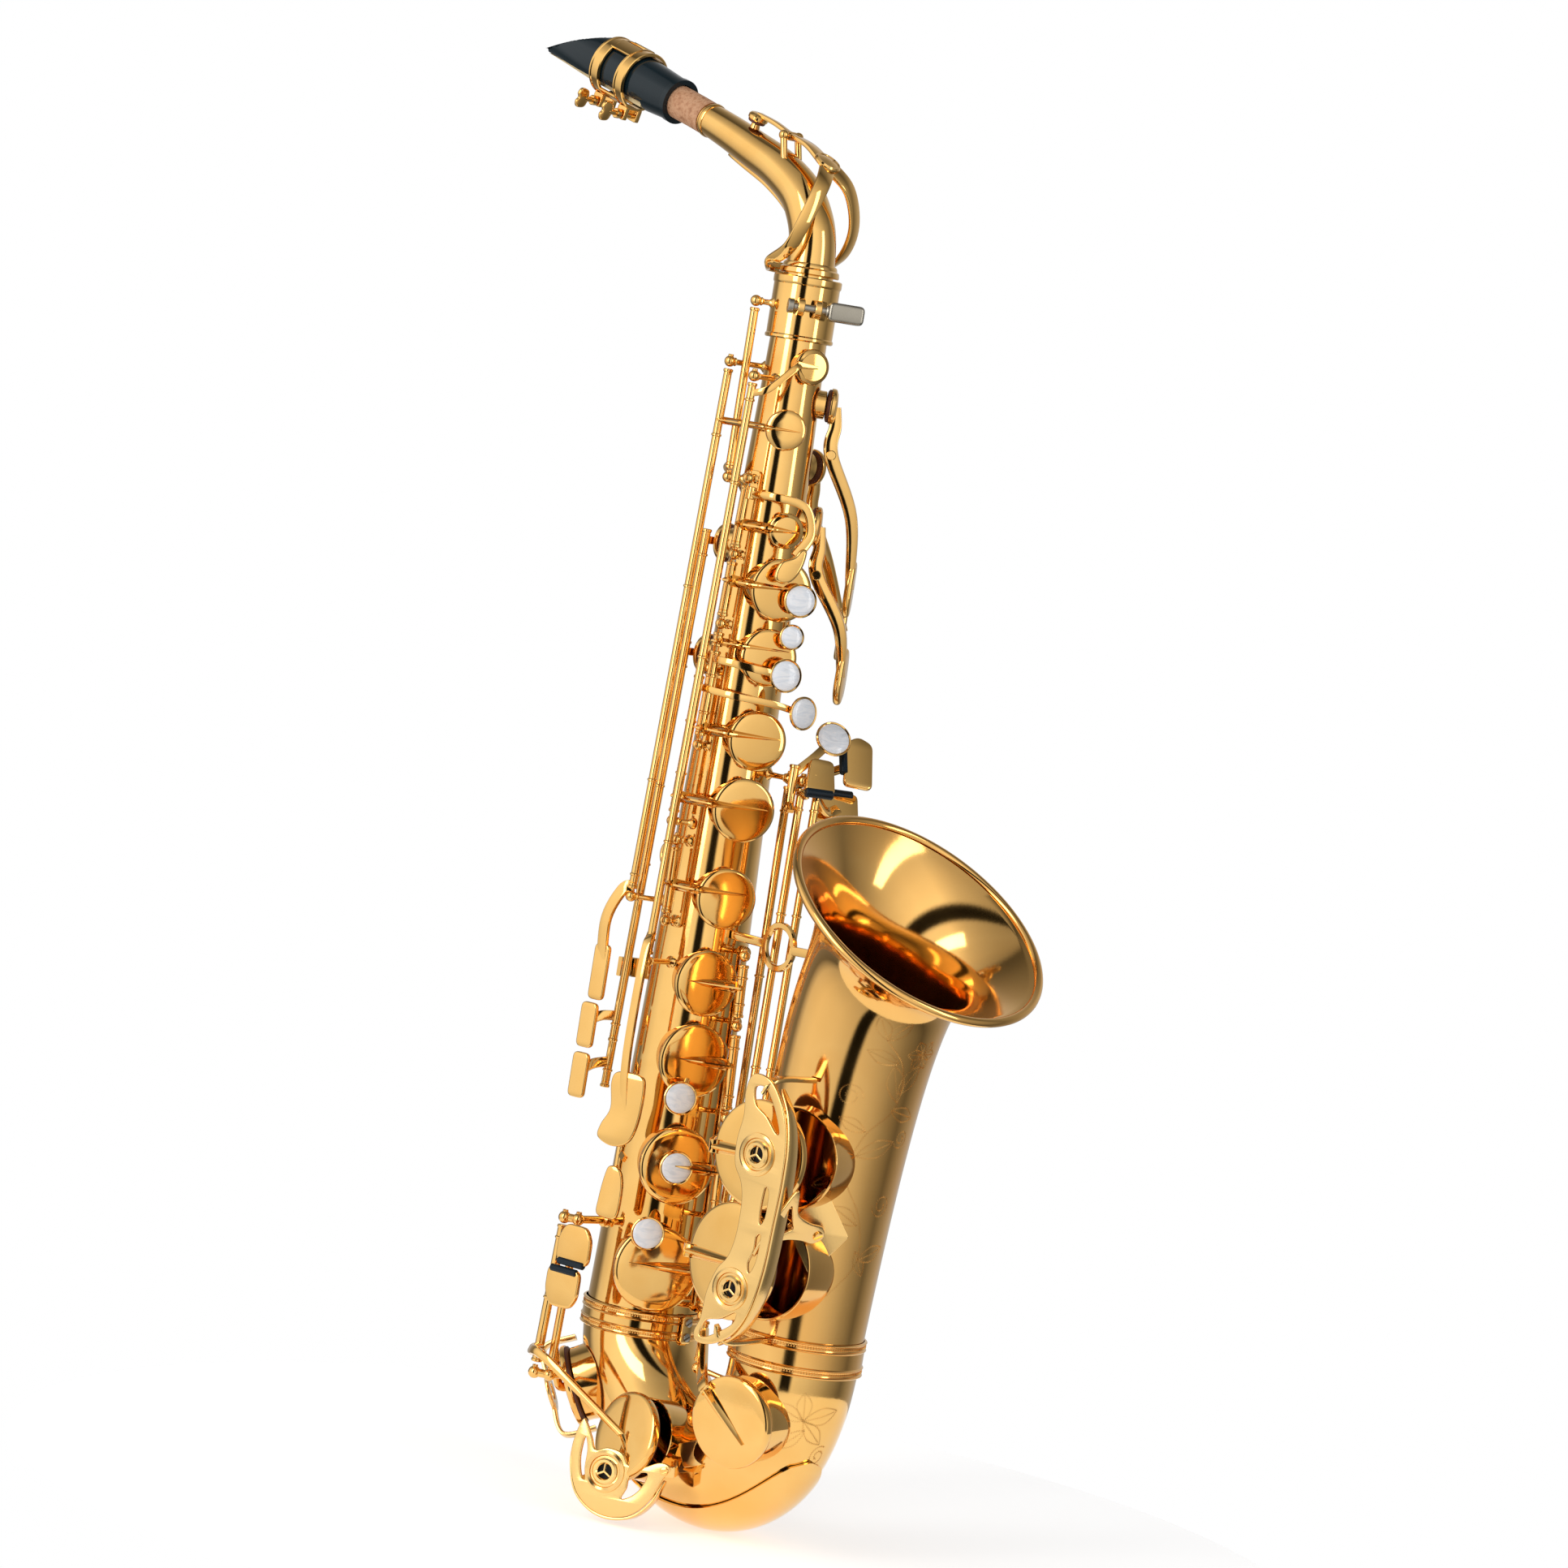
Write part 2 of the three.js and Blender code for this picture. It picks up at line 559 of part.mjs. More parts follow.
function highFSharpKey() {
  const place = hole.high_f_sharp;
  const touch = vec(14.5, -42.5, 92);
  const shape = join(
    keyTube(R2A, 163.2, 425.8, TUBE.side),
    cup(place),
    strap([R2A.at(421), vec(15.5, -26, 424), vec(19, -16.5, 434), add(cupTop(place), vec(-1.6, -7, 0))], 3, 1.8, around(-40)),
    bar(add(cupTop(place), vec(-2, -8, 0)), add(cupTop(place), vec(0.5, 2, 0)), 3, 1.8, place.facing, 2),
    strap([R2A.at(173), vec(12.5, -43, 163), vec(12.5, -44, 118), touch], 4, 2, around(-70)),
    touchPlate(touch, around(-65), 16.5, 30),
  );
  closedKey("high_f_sharp_key", R2A, place, 2.4, shape);
}

function sideKey(name, hinge, place, low, high, touch) {
  const shape = join(
    keyTube(hinge, low, high, TUBE.side), cup(place), cupArm(hinge, place, high - 5, 3.4),
    strap([hinge.at(low + 4), add(touch, vec(1.5, 1.5, 8)), touch], 4, 2, around(-120)),
    touchPlate(touch, around(-118), 8.5, 21),
  );
  closedKey(name, hinge, place, 2.6, shape);
}

highEKey();
highFSharpKey();
sideKey("side_c_key", SC, hole.side_c, 118, 357, vec(-27.5, -37, 124));
sideKey("side_b_flat_key", SB, hole.side_b_flat, 96, 305, vec(-28.5, -36.5, 100.5));

function trillKey() {
  const hinge = line(vec(10, -37, 46), vec(9.4, -36.4, 74));
  const touch = vec(13.5, -41.5, 54);
  const tip = vec(16, -38.5, 70);
  const shape = join(
    keyTube(hinge, 44, 76, TUBE.side),
    strap([hinge.at(54), vec(11.5, -41, 54), touch], 5, 1.8, around(-70)),
    touchPlate(touch, around(-65), 10.5, 23),
    strap([hinge.at(72), tip], 3, 1.8, around(-60)),
  );
  part("f_sharp_trill_key", shape, "brass", { line: hinge, turn: radians(5), rests: "closed" });
}

trillKey();

// ---- palm keys and front F, left hand: rockers on short axles across the body ----
function rocker(theta, z, height) {
  const center = onBody(z, theta, height);
  return { center, direction: tangent(theta), at: () => center, theta };
}

function palmKey(name, place, pivot, path, touch, facing) {
  const half = 3.6;
  const top = cupTop(place);
  const axle = rod(add(pivot.center, pivot.direction, -half), add(pivot.center, pivot.direction, half), TUBE.outer);
  const shape = join(
    axle, cup(place),
    strap([top, add(top, place.facing, 1.2).setZ(top.z - place.cup - 1), pivot.center, ...path, touch], 4, 1.8, place.facing),
    touchPlate(touch, facing, 10, 26),
  );
  const arm = place.seat.clone().sub(pivot.center);
  const motion = pivot.direction.clone().cross(arm).dot(place.facing);
  part(name, shape, "brass", { line: pivot, turn: 2.6 / motion, rests: "closed" });
}

const palmPivots = {
  palm_f: rocker(50, 399, 8.5),
  palm_e_flat: rocker(90, 371, 8.5),
  palm_d: rocker(46, 344, 9),
};

palmKey("palm_f_key", hole.palm_f, palmPivots.palm_f, [vec(20, 31, 372)], vec(18, 38.5, 340), around(70));
palmKey("palm_e_flat_key", hole.palm_e_flat, palmPivots.palm_e_flat, [vec(4, 34, 350)], vec(8, 46, 321), around(80));
palmKey("palm_d_key", hole.palm_d, palmPivots.palm_d, [vec(25, 30, 322)], vec(22.5, 38, 300), around(60));

const FF = line(vec(11, -23, 366), vec(10.5, -22.2, 378));

function frontFLever() {
  const place = vec(33.5, -11.8, 346.5);
  const path = [FF.at(376), vec(24, -20, 376.5), vec(32.5, -8, 374), vec(34.5, -4, 362), place];
  const touch = touchPlate(place, facingAudience(-22), 10, 14, 2.4);
  const shape = join(rod(FF.at(373.6), FF.at(379.4), TUBE.side), strap(path, 3, 1.8, vec(1, -0.5, 0)), touch);
  part("front_f_lever", shape, "brass", { line: FF, turn: radians(3), rests: "closed" });
}

frontFLever();

// ---- left little finger table ----
const pinkyFacing = vec(0.72, 0.1, 0.68).normalize();

function gSharpLever() {
  const hinge = line(vec(34, 9.5, 236), vec(33.4, 9.8, 262));
  const button = vec(30.5, 32, 270.5);
  const shape = join(
    keyTube(hinge, 238, 258),
    strap([hinge.at(254), vec(33.5, 20, 262), add(button, pinkyFacing, -0.8)], 4, 2, pinkyFacing),
    pearlHolder(button, pinkyFacing),
    strap([hinge.at(241), vec(38.5, 7, 237)], 3, 1.8, UP),
  );
  part("g_sharp_lever", shape, "brass", { line: hinge, turn: radians(4), rests: "closed" });
  part("g_sharp_pearl", pearl(button, pinkyFacing), "pearl");
}

gSharpLever();

function tableKey(name, hinge, low, high, path, touch, size, extras = [], turn = radians(4)) {
  const shape = join(
    keyTube(hinge, low, high, TUBE.side),
    strap([hinge.at(high - 3), ...path, touch], 4, 2, pinkyFacing),
    touchPlate(touch, pinkyFacing, size[0], size[1]),
    extras,
  );
  part(name, shape, "brass", { line: hinge, turn, rests: "closed" });
}

tableKey("low_c_sharp_lever", T1, 12, 247.4, [vec(25, 27, 251)], vec(35.6, 44.4, 261.6), [13, 16], [
  strap([T1.at(16), vec(42, 3, 15)], 4, 2, UP.clone().cross(vec(0.8, -0.6, 0))),
]);

// ---- bell keys ----
function bellKey(name, hinge, place, low, high, path, touch, size) {
  const thickness = CUP.big;
  const angle = liftAngle(hinge, place, BELL_LIFT);
  const top = cupTop(place, thickness);
  const side = hinge.at(place.seat.z).sub(top);
  side.addScaledVector(place.facing, -side.dot(place.facing)).normalize();
  const knee = add(top, side, place.cup + 2).addScaledVector(place.facing, -1);
  const moving = join(cup(place, thickness), strap([hinge.at(place.seat.z), knee, add(top, side, -4)], 6, 2.4, side));
  const fixedParts = join(
    keyTube(hinge, low, high, TUBE.side),
    strap([hinge.at(high - 3), ...path, touch], 4, 2, pinkyFacing),
    touchPlate(touch, pinkyFacing, size[0], size[1]),
  );
  part(name, join(fixedParts, turnAbout(moving, hinge, angle)), "brass", { line: hinge, turn: -angle, rests: "open" });
}

bellKey("low_b_key", T2, lowB, 58, 247.4, [vec(40, 13.5, 246)], vec(42, 17.5, 254), [12, 15]);
bellKey("low_b_flat_key", T3, lowBFlat, 24, 247.4, [vec(37, 30, 238)], vec(36, 38, 240), [15, 12]);

function lowCSharpKey() {
  const hinge = LOW_C_SHARP_HINGE;
  const top = cupTop(lowCSharp, CUP.big);
  const side = hinge.at(lowCSharp.seat.z).sub(top);
  side.addScaledVector(lowCSharp.facing, -side.dot(lowCSharp.facing)).normalize();
  const knee = add(top, side, lowCSharp.cup + 1.5);
  const shape = join(
    keyTube(hinge, -12, 6.4), cup(lowCSharp, CUP.big),
    strap([hinge.at(-4), knee, add(top, side, -6)], 5, 2.2, side),
  );
  closedKey("low_c_sharp_key", hinge, lowCSharp, 4, shape);
}

lowCSharpKey();

// ---- right little finger table: low E flat and low C ----
const EC = line(vec(-11, -49.5, -40), vec(-9.5, -47, 40));
const EF = line(vec(-5.5, -45, -40), vec(-4.5, -43, 40));

function lowCKey() {
  const angle = liftAngle(EC, lowC, 6);
  const top = cupTop(lowC, CUP.big);
  const elbow = vec(14, -60, -24);
  const moving = join(cup(lowC, CUP.big), strap([EC.at(-24), elbow, top], 5, 2.2, vec(0.1, -1, 0.3).normalize()));
  const touch = vec(4, -53, 8);
  const handle = join(
    keyTube(EC, -30, 34),
    strap([EC.at(10), touch], 6, 2, around(-80)),
    touchPlate(touch, around(-78), 19, 17),
  );
  part("low_c_key", join(handle, turnAbout(moving, EC, angle)), "brass", { line: EC, turn: -angle, rests: "open" });
}

function lowEFlatKey() {
  const touch = vec(7, -52, 27.5);
  const top = cupTop(lowEFlat);
  const knee = add(top, vec(6, -12, 3));
  const shape = join(
    keyTube(EF, -30, 34, TUBE.side), cup(lowEFlat),
    strap([EF.at(-22), knee, add(top, lowEFlat.facing, 0.2)], 4, 2, vec(-0.9, -0.3, 0).normalize()),
    strap([EF.at(26), touch], 6, 2, around(-80)),
    touchPlate(touch, around(-78), 19, 17),
  );
  closedKey("low_e_flat_key", EF, lowEFlat, 3, shape);
}

lowCKey();
lowEFlatKey();

// ---- guards over the low keys ----
// A flat guard parallel to a pair of cups, with a boss ring over each, standing on feet on the tube.
function ringOutline(x, y, outer, inner) {
  const outline = new THREE.Shape().absarc(x, y, outer, 0, 2 * Math.PI);
  outline.holes.push(circleOutline(x, y, inner));
  return outline;
}

function capsuleOutline(low, high, halfWidth, bosses) {
  const outline = new THREE.Shape();
  outline.moveTo(halfWidth, low);
  outline.absarc(0, high, halfWidth, 0, Math.PI);
  outline.absarc(0, low, halfWidth, Math.PI, 2 * Math.PI);
  outline.holes.push(...bosses.map((y) => circleOutline(0, y, 3.4)));
  return outline;
}

function bellKeyGuard() {
  const middle = bellCurve.getPointAt(0.31);
  const ahead = leanBy(3.4);
  const facing = around(-77);
  const across = ahead.clone().cross(facing).normalize();
  const normal = across.clone().cross(ahead).normalize();
  const origin = add(middle, normal, 64).addScaledVector(across, 6);
  const at = (x, y, depth) => add(add(add(origin, across, x), ahead, y), normal, depth);
  const shape = plate(capsuleOutline(-40, 36, 11, [-33.5, 27]), 1.6, origin, across, ahead, 5);
  const flange = bar(at(11.2, -40, -3), at(11.2, 40, -3), 7, 1.4, across);
  const arm = strap([at(11, 2, -5), at(26, 0, -16), at(29, 0, -30)], 8, 1.8, add(across, normal));
  const feet = [
    strap([at(0, 47, 0), at(-1, 54, -8), at(0, 56, -29.6)], 5, 1.8, ahead),
    strap([at(0, -47, 0), at(0, -52, -8), at(0, -54, -31.4)], 5, 1.8, ahead),
  ];
  return join(shape, flange, arm, feet);
}

part("bell_key_guard", bellKeyGuard(), "brass");

function lowCGuard() {
  const { facing, ahead, seat, cup: radius } = lowC;
  const across = ahead.clone().cross(facing).normalize().negate();
  const origin = add(seat, facing, 6 + CUP.big + 10);
  const at = (x, y, depth) => add(add(add(origin, across, x), ahead, y), facing, depth);
  const disc = plate(ringOutline(0, 0, radius * 0.68, 3.4), 1.6, origin, across, ahead, 5);
  const reach = radius + 4.5;
  const feet = [[0, 1, 24.4], [-0.75, -0.66, 29]].map(([x, y, drop]) => {
    const out = across.clone().multiplyScalar(x).addScaledVector(ahead, y);
    return [
      bar(at(x * 12, y * 12, 0), at(x * reach, y * reach, 0), 5, 1.6, facing),
      bar(at(x * reach, y * reach, 0.8), at(x * reach, y * reach, -drop), 5, 1.6, out),
    ];
  });
  return join(disc, feet);
}

part("low_c_guard", lowCGuard(), "brass");

function lowEFlatGuard() {
  const { facing, ahead, seat, cup: radius } = lowEFlat;
  const across = ahead.clone().cross(facing).normalize().negate();
  const origin = add(seat, facing, CUP.thickness + 6.6);
  const at = (x, y, depth) => add(add(add(origin, across, x), ahead, y), facing, depth);
  const ring = plate(ringOutline(0, 0, 9, 4), 1.6, origin, across, ahead, 5);
  const reach = radius + 3.2;
  const feet = [-1, 1].map((end) => {
    return strap([at(0, 6 * end, 0), at(0, end * reach, -1), at(0, end * reach, -14.6)], 5, 1.8, ahead);
  });
  return join(ring, feet);
}

part("low_e_flat_guard", lowEFlatGuard(), "brass");

// ---- bell brace and bow guard plate ----
function bellBrace() {
  const z = 177;
  const y = -2.6;
  const center = vec(57, y, z);
  const ring = plate(ringOutline(0, 0, 11, 8.6), 3, center, vec(1, 0, 0), UP.clone(), 5);
  const bodySide = bar(vec(bodyRadius(z) + GAP + 0.1, y, z), vec(47.6, y, z), 3, 4, UP);
  const bellWall = 89.1;
  const bellSide = bar(vec(66.6, y, z), vec(bellWall, y, z + 1), 3, 4, UP);
  const bodyFoot = bar(vec(bodyRadius(z - 3) + 1.2, y, z - 3), vec(bodyRadius(z + 3) + 1.2, y, z + 3), 5, 1.4, around(0));
  return join(ring, bodySide, bellSide, bodyFoot);
}

part("bell_brace", bellBrace(), "brass");

function bowGuard() {
  const outer = bent(bowCurve, (t) => bowRadius(t) + 1.5, 12, BELL_SIDES, 0.26, 0.8);
  const inner = bent(bowCurve, (t) => bowRadius(t) + 0.5, 12, BELL_SIDES, 0.25, 0.81);
  const middle = bowCurve.getPointAt(0.5);
  const window = new THREE.BoxGeometry(160, 25, 60).translate(middle.x, 0, middle.z - 34);
  return cut(outer, inner).intersect(solid(window));
}

part("bow_guard_plate", bowGuard(), "brass");

// ---- what the hands and the strap hold, at the back ----
function thumbHook() {
  const foot = onBody(150, 172, GAP + 0.9);
  const out = around(172);
  const side = tangent(172);
  return join(
    bar(add(foot, UP, -9), add(foot, UP, 9), 9, 1.6, out),
    strap([foot, add(foot, out, 13), add(add(foot, out, 19), side, 8), add(add(foot, out, 18), side, 17)], 9, 2.2, UP.clone().cross(out)),
  );
}

part("thumb_hook", thumbHook(), "brass");
part("thumb_rest", turned([[0, 0], [8, 0], [8, 2.4], [6.5, 4], [0, 4]], onBody(337, 140, GAP), around(140)), "ebonite");

function strapRing() {
  const out = around(STRAP_RING.theta);
  const foot = onBody(STRAP_RING.z, STRAP_RING.theta, GAP + 0.8);
  const center = add(foot, out, STRAP_RING.reach - 1);
  return join(
    bar(add(foot, UP, -10), add(foot, UP, 10), 8, 1.5, out),
    rod(foot, add(foot, out, 4.4), 2.6),
    plate(ringOutline(0, 0, 7, 4.4), 3.2, center, out, UP.clone(), 6),
  );
}

part("strap_ring", strapRing(), "brass");

// ---- receiver, neck and mouthpiece ----
const CLAMP = { theta: -32, z: 463, reach: 18.6 };
const clampOut = around(CLAMP.theta);
const clampAlong = tangent(CLAMP.theta);
const clampCenter = clampOut.clone().multiplyScalar(CLAMP.reach).setZ(CLAMP.z);
const clampLine = { direction: clampAlong, at: () => clampCenter };

function neckReceiver() {
  const r = bodyRadius(450) + GAP + 0.2;
  const [low, high] = [BODY.top - 7, NECK.receiverTop];
  const profile = [[r, low], [r + 2, low], [r + 2, high - 3], [r + 3, high - 3], [r + 3, high], [r, high], [r, low]];
  const sleeve = turned(profile, vec(0, 0, 0), UP, 16);
  const ears = [-4, 4].map((y) => {
    const from = add(add(clampCenter, clampAlong, y - 1.5), clampOut, -0.5);
    return rod(from, add(from, clampAlong, 3), 4.2, 8);
  });
  const slot = new THREE.BoxGeometry(10, 1.6, 40);
  const slotPlace = basis(clampOut.clone().multiplyScalar(14).setZ(472), clampOut, clampAlong, UP);
  const slotCut = solid(slot.applyMatrix4(slotPlace));
  const screwHole = rod(add(clampCenter, clampAlong, -12), add(clampCenter, clampAlong, 12), 2.2, 6);
  const webs = [-4, 4].map((y) => {
    const from = add(clampCenter, clampAlong, y);
    return bar(add(from, clampOut, -5.6), add(from, clampOut, -0.5), 3, 6, UP);
  });
  const octavePost = post(vec(-5.4, -13.2, 463), OCTAVE.at(463));
  return cut(join(sleeve, ears, webs, octavePost), slotCut, screwHole, rod(vec(0, 0, low - 1), vec(0, 0, high + 1), r, 16));
}

part("neck_receiver", neckReceiver(), "brass");

function neckScrew() {
  const at = (y) => add(clampCenter, clampAlong, y);
  const head = new THREE.BoxGeometry(6, 12, 9).applyMatrix4(basis(at(14.8), clampOut, clampAlong, UP));
  return join(rod(at(-8), at(9.8), 1.7), rod(at(-10), at(-7.3), 3.4), solid(head));
}

part("neck_screw", neckScrew(), "nickel", { line: clampLine, turn: Math.PI, rests: "closed", spins: true });

const neck = new THREE.Group();
neck.rotation.z = radians(NECK.turn);
saxophone.add(neck);

const neckCurve = new THREE.CatmullRomCurve3([
  vec(0, 0, BODY.top + 1), vec(0, 0, 478), vec(-1, 0, 493), vec(-5, 0, 504), vec(-13.5, 0, 515),
  vec(-29, 0, 524.8), vec(-47, 0, 532.2), vec(-66, 0, 539.4), vec(-86, 0, 546), vec(-111, 0, 553.2),
]);
const neckRadius = (t) => NECK.radius + (NECK.endRadius - NECK.radius) * t;

const NECK_SIDES = 14;
const NECK_STEPS = 10;

function neckTube() {
  const outer = bent(neckCurve, neckRadius, NECK_STEPS, NECK_SIDES);
  const inner = bent(neckCurve, (t) => neckRadius(t) - WALL, NECK_STEPS, NECK_SIDES, 0.0005, 0.9995);
  const ends = [0, 1].map((t) => {
    const [center, ahead] = [neckCurve.getPointAt(t), neckCurve.getTangentAt(t)];
    return rod(add(center, ahead, -1), add(center, ahead, 1), neckRadius(t) - WALL, NECK_SIDES);
  });
  const collar = turned([[9, 478], [13.6, 478], [13.6, 481], [12, 482.5], [9, 482.5], [9, 478]], vec(0, 0, 0), UP, NECK_SIDES);
  const pip = rod(vec(-50, 0, 538), vec(-48.6, 0, 544.3), 2.2);
  const posts = [-4.8, 4.8].map((y) => rod(vec(-22, y, 528), vec(-25, y, 537.6), 1.5));
  const pipBore = rod(vec(-50.4, 0, 536), vec(-48.4, 0, 545.2), 1.1, 6);
  return cut(join(outer, collar, pip, posts), inner, ends, pipBore);
}

part("neck_tube", neckTube(), "brass", null, neck);

function corkSleeve() {
  const [start, end] = [0.805, 0.992];
  const outer = bent(neckCurve, () => 7.9, 2, NECK_SIDES, start, end);
  const inner = bent(neckCurve, (t) => neckRadius(t) + 0.3, 2, NECK_SIDES, start - 0.005, 1);
  return cut(outer, inner);
}

part("neck_cork", corkSleeve(), "cork", null, neck);

function neckOctaveKey() {
  const along = vec(0, 1, 0);
  const pad = vec(-48.4, 0, 545);
  const up = vec(0.37, 0, 0.93).normalize();
  const beam = strap([add(pad, up, 3.4), vec(-36, 0, 545), vec(-25, 0, 540), vec(-12, 0, 536), vec(0, 0, 530)], 4.5, 1.8, up);
  const badge = turned([[0, 0], [6.4, 0], [6.4, 1.6], [5, 2.4], [0, 2.6]], vec(0, 0, 529), vec(0.55, 0, 0.83).normalize(), 12);
  const arms = [-1, 1].map((s) => {
    const route = [vec(1, 0, 529), vec(8, s * 9, 519), vec(8, s * 16, 503), vec(2, s * 17.5, 489), vec(-10, s * 16.5, 481.5), vec(-20, s * 7, 480)];
    return strap(s > 0 ? [...route, vec(-20, -7, 480)] : route, 3, 2, vec(1, s * 0.4, 0.2).normalize());
  });
  return join(
    rod(vec(-25, -2.8, 540), vec(-25, 2.8, 540), 2, 8),
    turned([[0, 0], [4.8, 0], [4.8, 2.8], [3.6, 3.6], [0, 3.8]], pad, up, 10),
    beam, badge, arms.flat(),
  );
}

const neckOctaveLine = { direction: vec(0, 1, 0), at: () => vec(-25, 0, 540) };
const neckOctaveHinge = { line: neckOctaveLine, turn: radians(5), rests: "closed" };
part("neck_octave_key", neckOctaveKey(), "brass", neckOctaveHinge, neck);

function octaveLever() {
  const touch = vec(-21.5, 12.5, 356);
  return join(
    rod(OCTAVE.at(386), OCTAVE.at(459.8), TUBE.side, 6),
    strap([OCTAVE.at(390), vec(-20, -13, 386), vec(-24.5, 2, 378), touch], 4, 1.8, around(170)),
    touchPlate(touch, around(150), 12, 12, 1.8),
  );
}

part("octave_lever", octaveLever(), "brass", { line: OCTAVE, turn: radians(-5), rests: "closed" });

// The mouthpiece's own frame: Z from shank to tip, X towards its upper side.
const mouthpiece = new THREE.Group();
const MOUTHPIECE = { x: -99.8, z: 550.2, tilt: -74.2, length: 89 };
mouthpiece.position.set(MOUTHPIECE.x, 0, MOUTHPIECE.z);
mouthpiece.rotation.y = radians(MOUTHPIECE.tilt);
neck.add(mouthpiece);

function mouthpieceBody() {
  const profile = [[0, 0], [10.8, 0], [10.8, 3], [10.3, 3.6], [12.4, 34], [12.2, 58], [11, MOUTHPIECE.length], [0, MOUTHPIECE.length]];
  const blank = turned(profile, vec(0, 0, 0), UP, 20);
  const below = new THREE.BoxGeometry(20, 40, 79).translate(-17.6, 0, 57);
  const beak = new THREE.BoxGeometry(20, 60, 70);
  beak.applyMatrix4(new THREE.Matrix4().makeRotationY(radians(-29)).setPosition(14.3, 0, 84.5));
  const shankBore = rod(vec(0, 0, -1), vec(0, 0, 15.5), 8.3, 14);
  const chamber = rod(vec(0, 0, 14), vec(0, 0, 50), 5.6, 10);
  const window = new THREE.BoxGeometry(9, 11, 34).translate(-4.6, 0, 65.5);
  return cut(blank, solid(below), solid(beak), shankBore, chamber, solid(window));
}

part("mouthpiece", mouthpieceBody(), "ebonite", null, mouthpiece);

function reed() {
  const side = new THREE.Shape([
    new THREE.Vector2(-7.95, 18), new THREE.Vector2(-7.95, 88), new THREE.Vector2(-8.25, 88),
    new THREE.Vector2(-10.6, 56), new THREE.Vector2(-10.9, 18),
  ]);
  return plate(side, 13, vec(0, 0, 0), vec(1, 0, 0), UP.clone());
}

part("reed", reed(), "cane", null, mouthpiece);

const ligatureBands = [30, 48];

function ligature() {
  const band = (z) => turned([[13, z - 3.4], [14.3, z - 3.4], [14.3, z + 3.4], [13, z + 3.4], [13, z - 3.4]], vec(0, 0, 0), UP, 14);
  const bars = [0, 60, -60, 150, -150].map((deg) => {
    const at = around(deg).multiplyScalar(13.65);
    return bar(at.clone().setZ(32), at.clone().setZ(46), 4, 1.3, around(deg));
  });
  const lugs = ligatureBands.flatMap((z) => [-4, 4].map((y) => {
    return solid(new THREE.BoxGeometry(6.5, 2.6, 6).translate(-16.6, y, z));
  }));
  const holes = ligatureBands.map((z) => rod(vec(-17.6, -8, z), vec(-17.6, 8, z), 1.7, 6));
  return cut(join(ligatureBands.map(band), bars, lugs), holes);
}

part("ligature", ligature(), "brass", null, mouthpiece);

ligatureBands.forEach((z, i) => {
  const shaft = rod(vec(-17.6, -13, z), vec(-17.6, 6.5, z), 1.3);
  const collar = rod(vec(-17.6, -8.4, z), vec(-17.6, -5.8, z), 2.4);
  const wing = solid(new THREE.BoxGeometry(9, 7, 2).translate(-17.6, -14.5, z));
  const hinge = { line: { direction: vec(0, 1, 0), at: () => vec(-17.6, 0, z) }, turn: Math.PI, spins: true };
  part(`ligature_screw_${i + 1}`, join(shaft, collar, wing), "brass", hinge, mouthpiece);
});

// The strap ring's middle is the part's origin.
const ringOut = bodyRadius(STRAP_RING.z) + GAP + 0.8 + STRAP_RING.reach - 1;
const ringCenter = around(STRAP_RING.theta).multiplyScalar(ringOut).setZ(STRAP_RING.z);
const placed = new THREE.Group();
saxophone.position.copy(ringCenter).negate();
placed.add(saxophone);
export default placed;
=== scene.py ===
"""Alto saxophone: the visible pieces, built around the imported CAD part.

Lengths are millimetres in the body tube's own frame (tube axis along Z, bell towards +X,
the player's left at +Y). put() turns them into metres in the part's frame.
"""
import math

import bpy
import bmesh
from mathutils import Matrix, Vector


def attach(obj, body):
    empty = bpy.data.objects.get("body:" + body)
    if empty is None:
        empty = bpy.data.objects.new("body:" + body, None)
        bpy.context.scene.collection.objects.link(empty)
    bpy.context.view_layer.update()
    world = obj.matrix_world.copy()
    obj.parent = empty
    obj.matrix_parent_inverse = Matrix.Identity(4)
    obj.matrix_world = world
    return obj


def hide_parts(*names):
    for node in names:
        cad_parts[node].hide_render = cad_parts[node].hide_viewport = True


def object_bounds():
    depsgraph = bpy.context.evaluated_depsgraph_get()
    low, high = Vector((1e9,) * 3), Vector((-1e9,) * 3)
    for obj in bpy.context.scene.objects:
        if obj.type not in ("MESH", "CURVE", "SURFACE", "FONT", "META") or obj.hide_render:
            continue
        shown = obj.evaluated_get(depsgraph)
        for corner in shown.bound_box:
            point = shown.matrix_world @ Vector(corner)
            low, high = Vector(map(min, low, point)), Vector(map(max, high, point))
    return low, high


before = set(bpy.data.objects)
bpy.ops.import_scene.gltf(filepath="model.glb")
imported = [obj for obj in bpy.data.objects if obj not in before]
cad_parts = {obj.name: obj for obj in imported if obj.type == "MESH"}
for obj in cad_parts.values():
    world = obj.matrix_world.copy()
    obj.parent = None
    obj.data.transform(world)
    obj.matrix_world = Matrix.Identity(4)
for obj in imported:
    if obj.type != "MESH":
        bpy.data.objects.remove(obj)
cad_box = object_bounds()

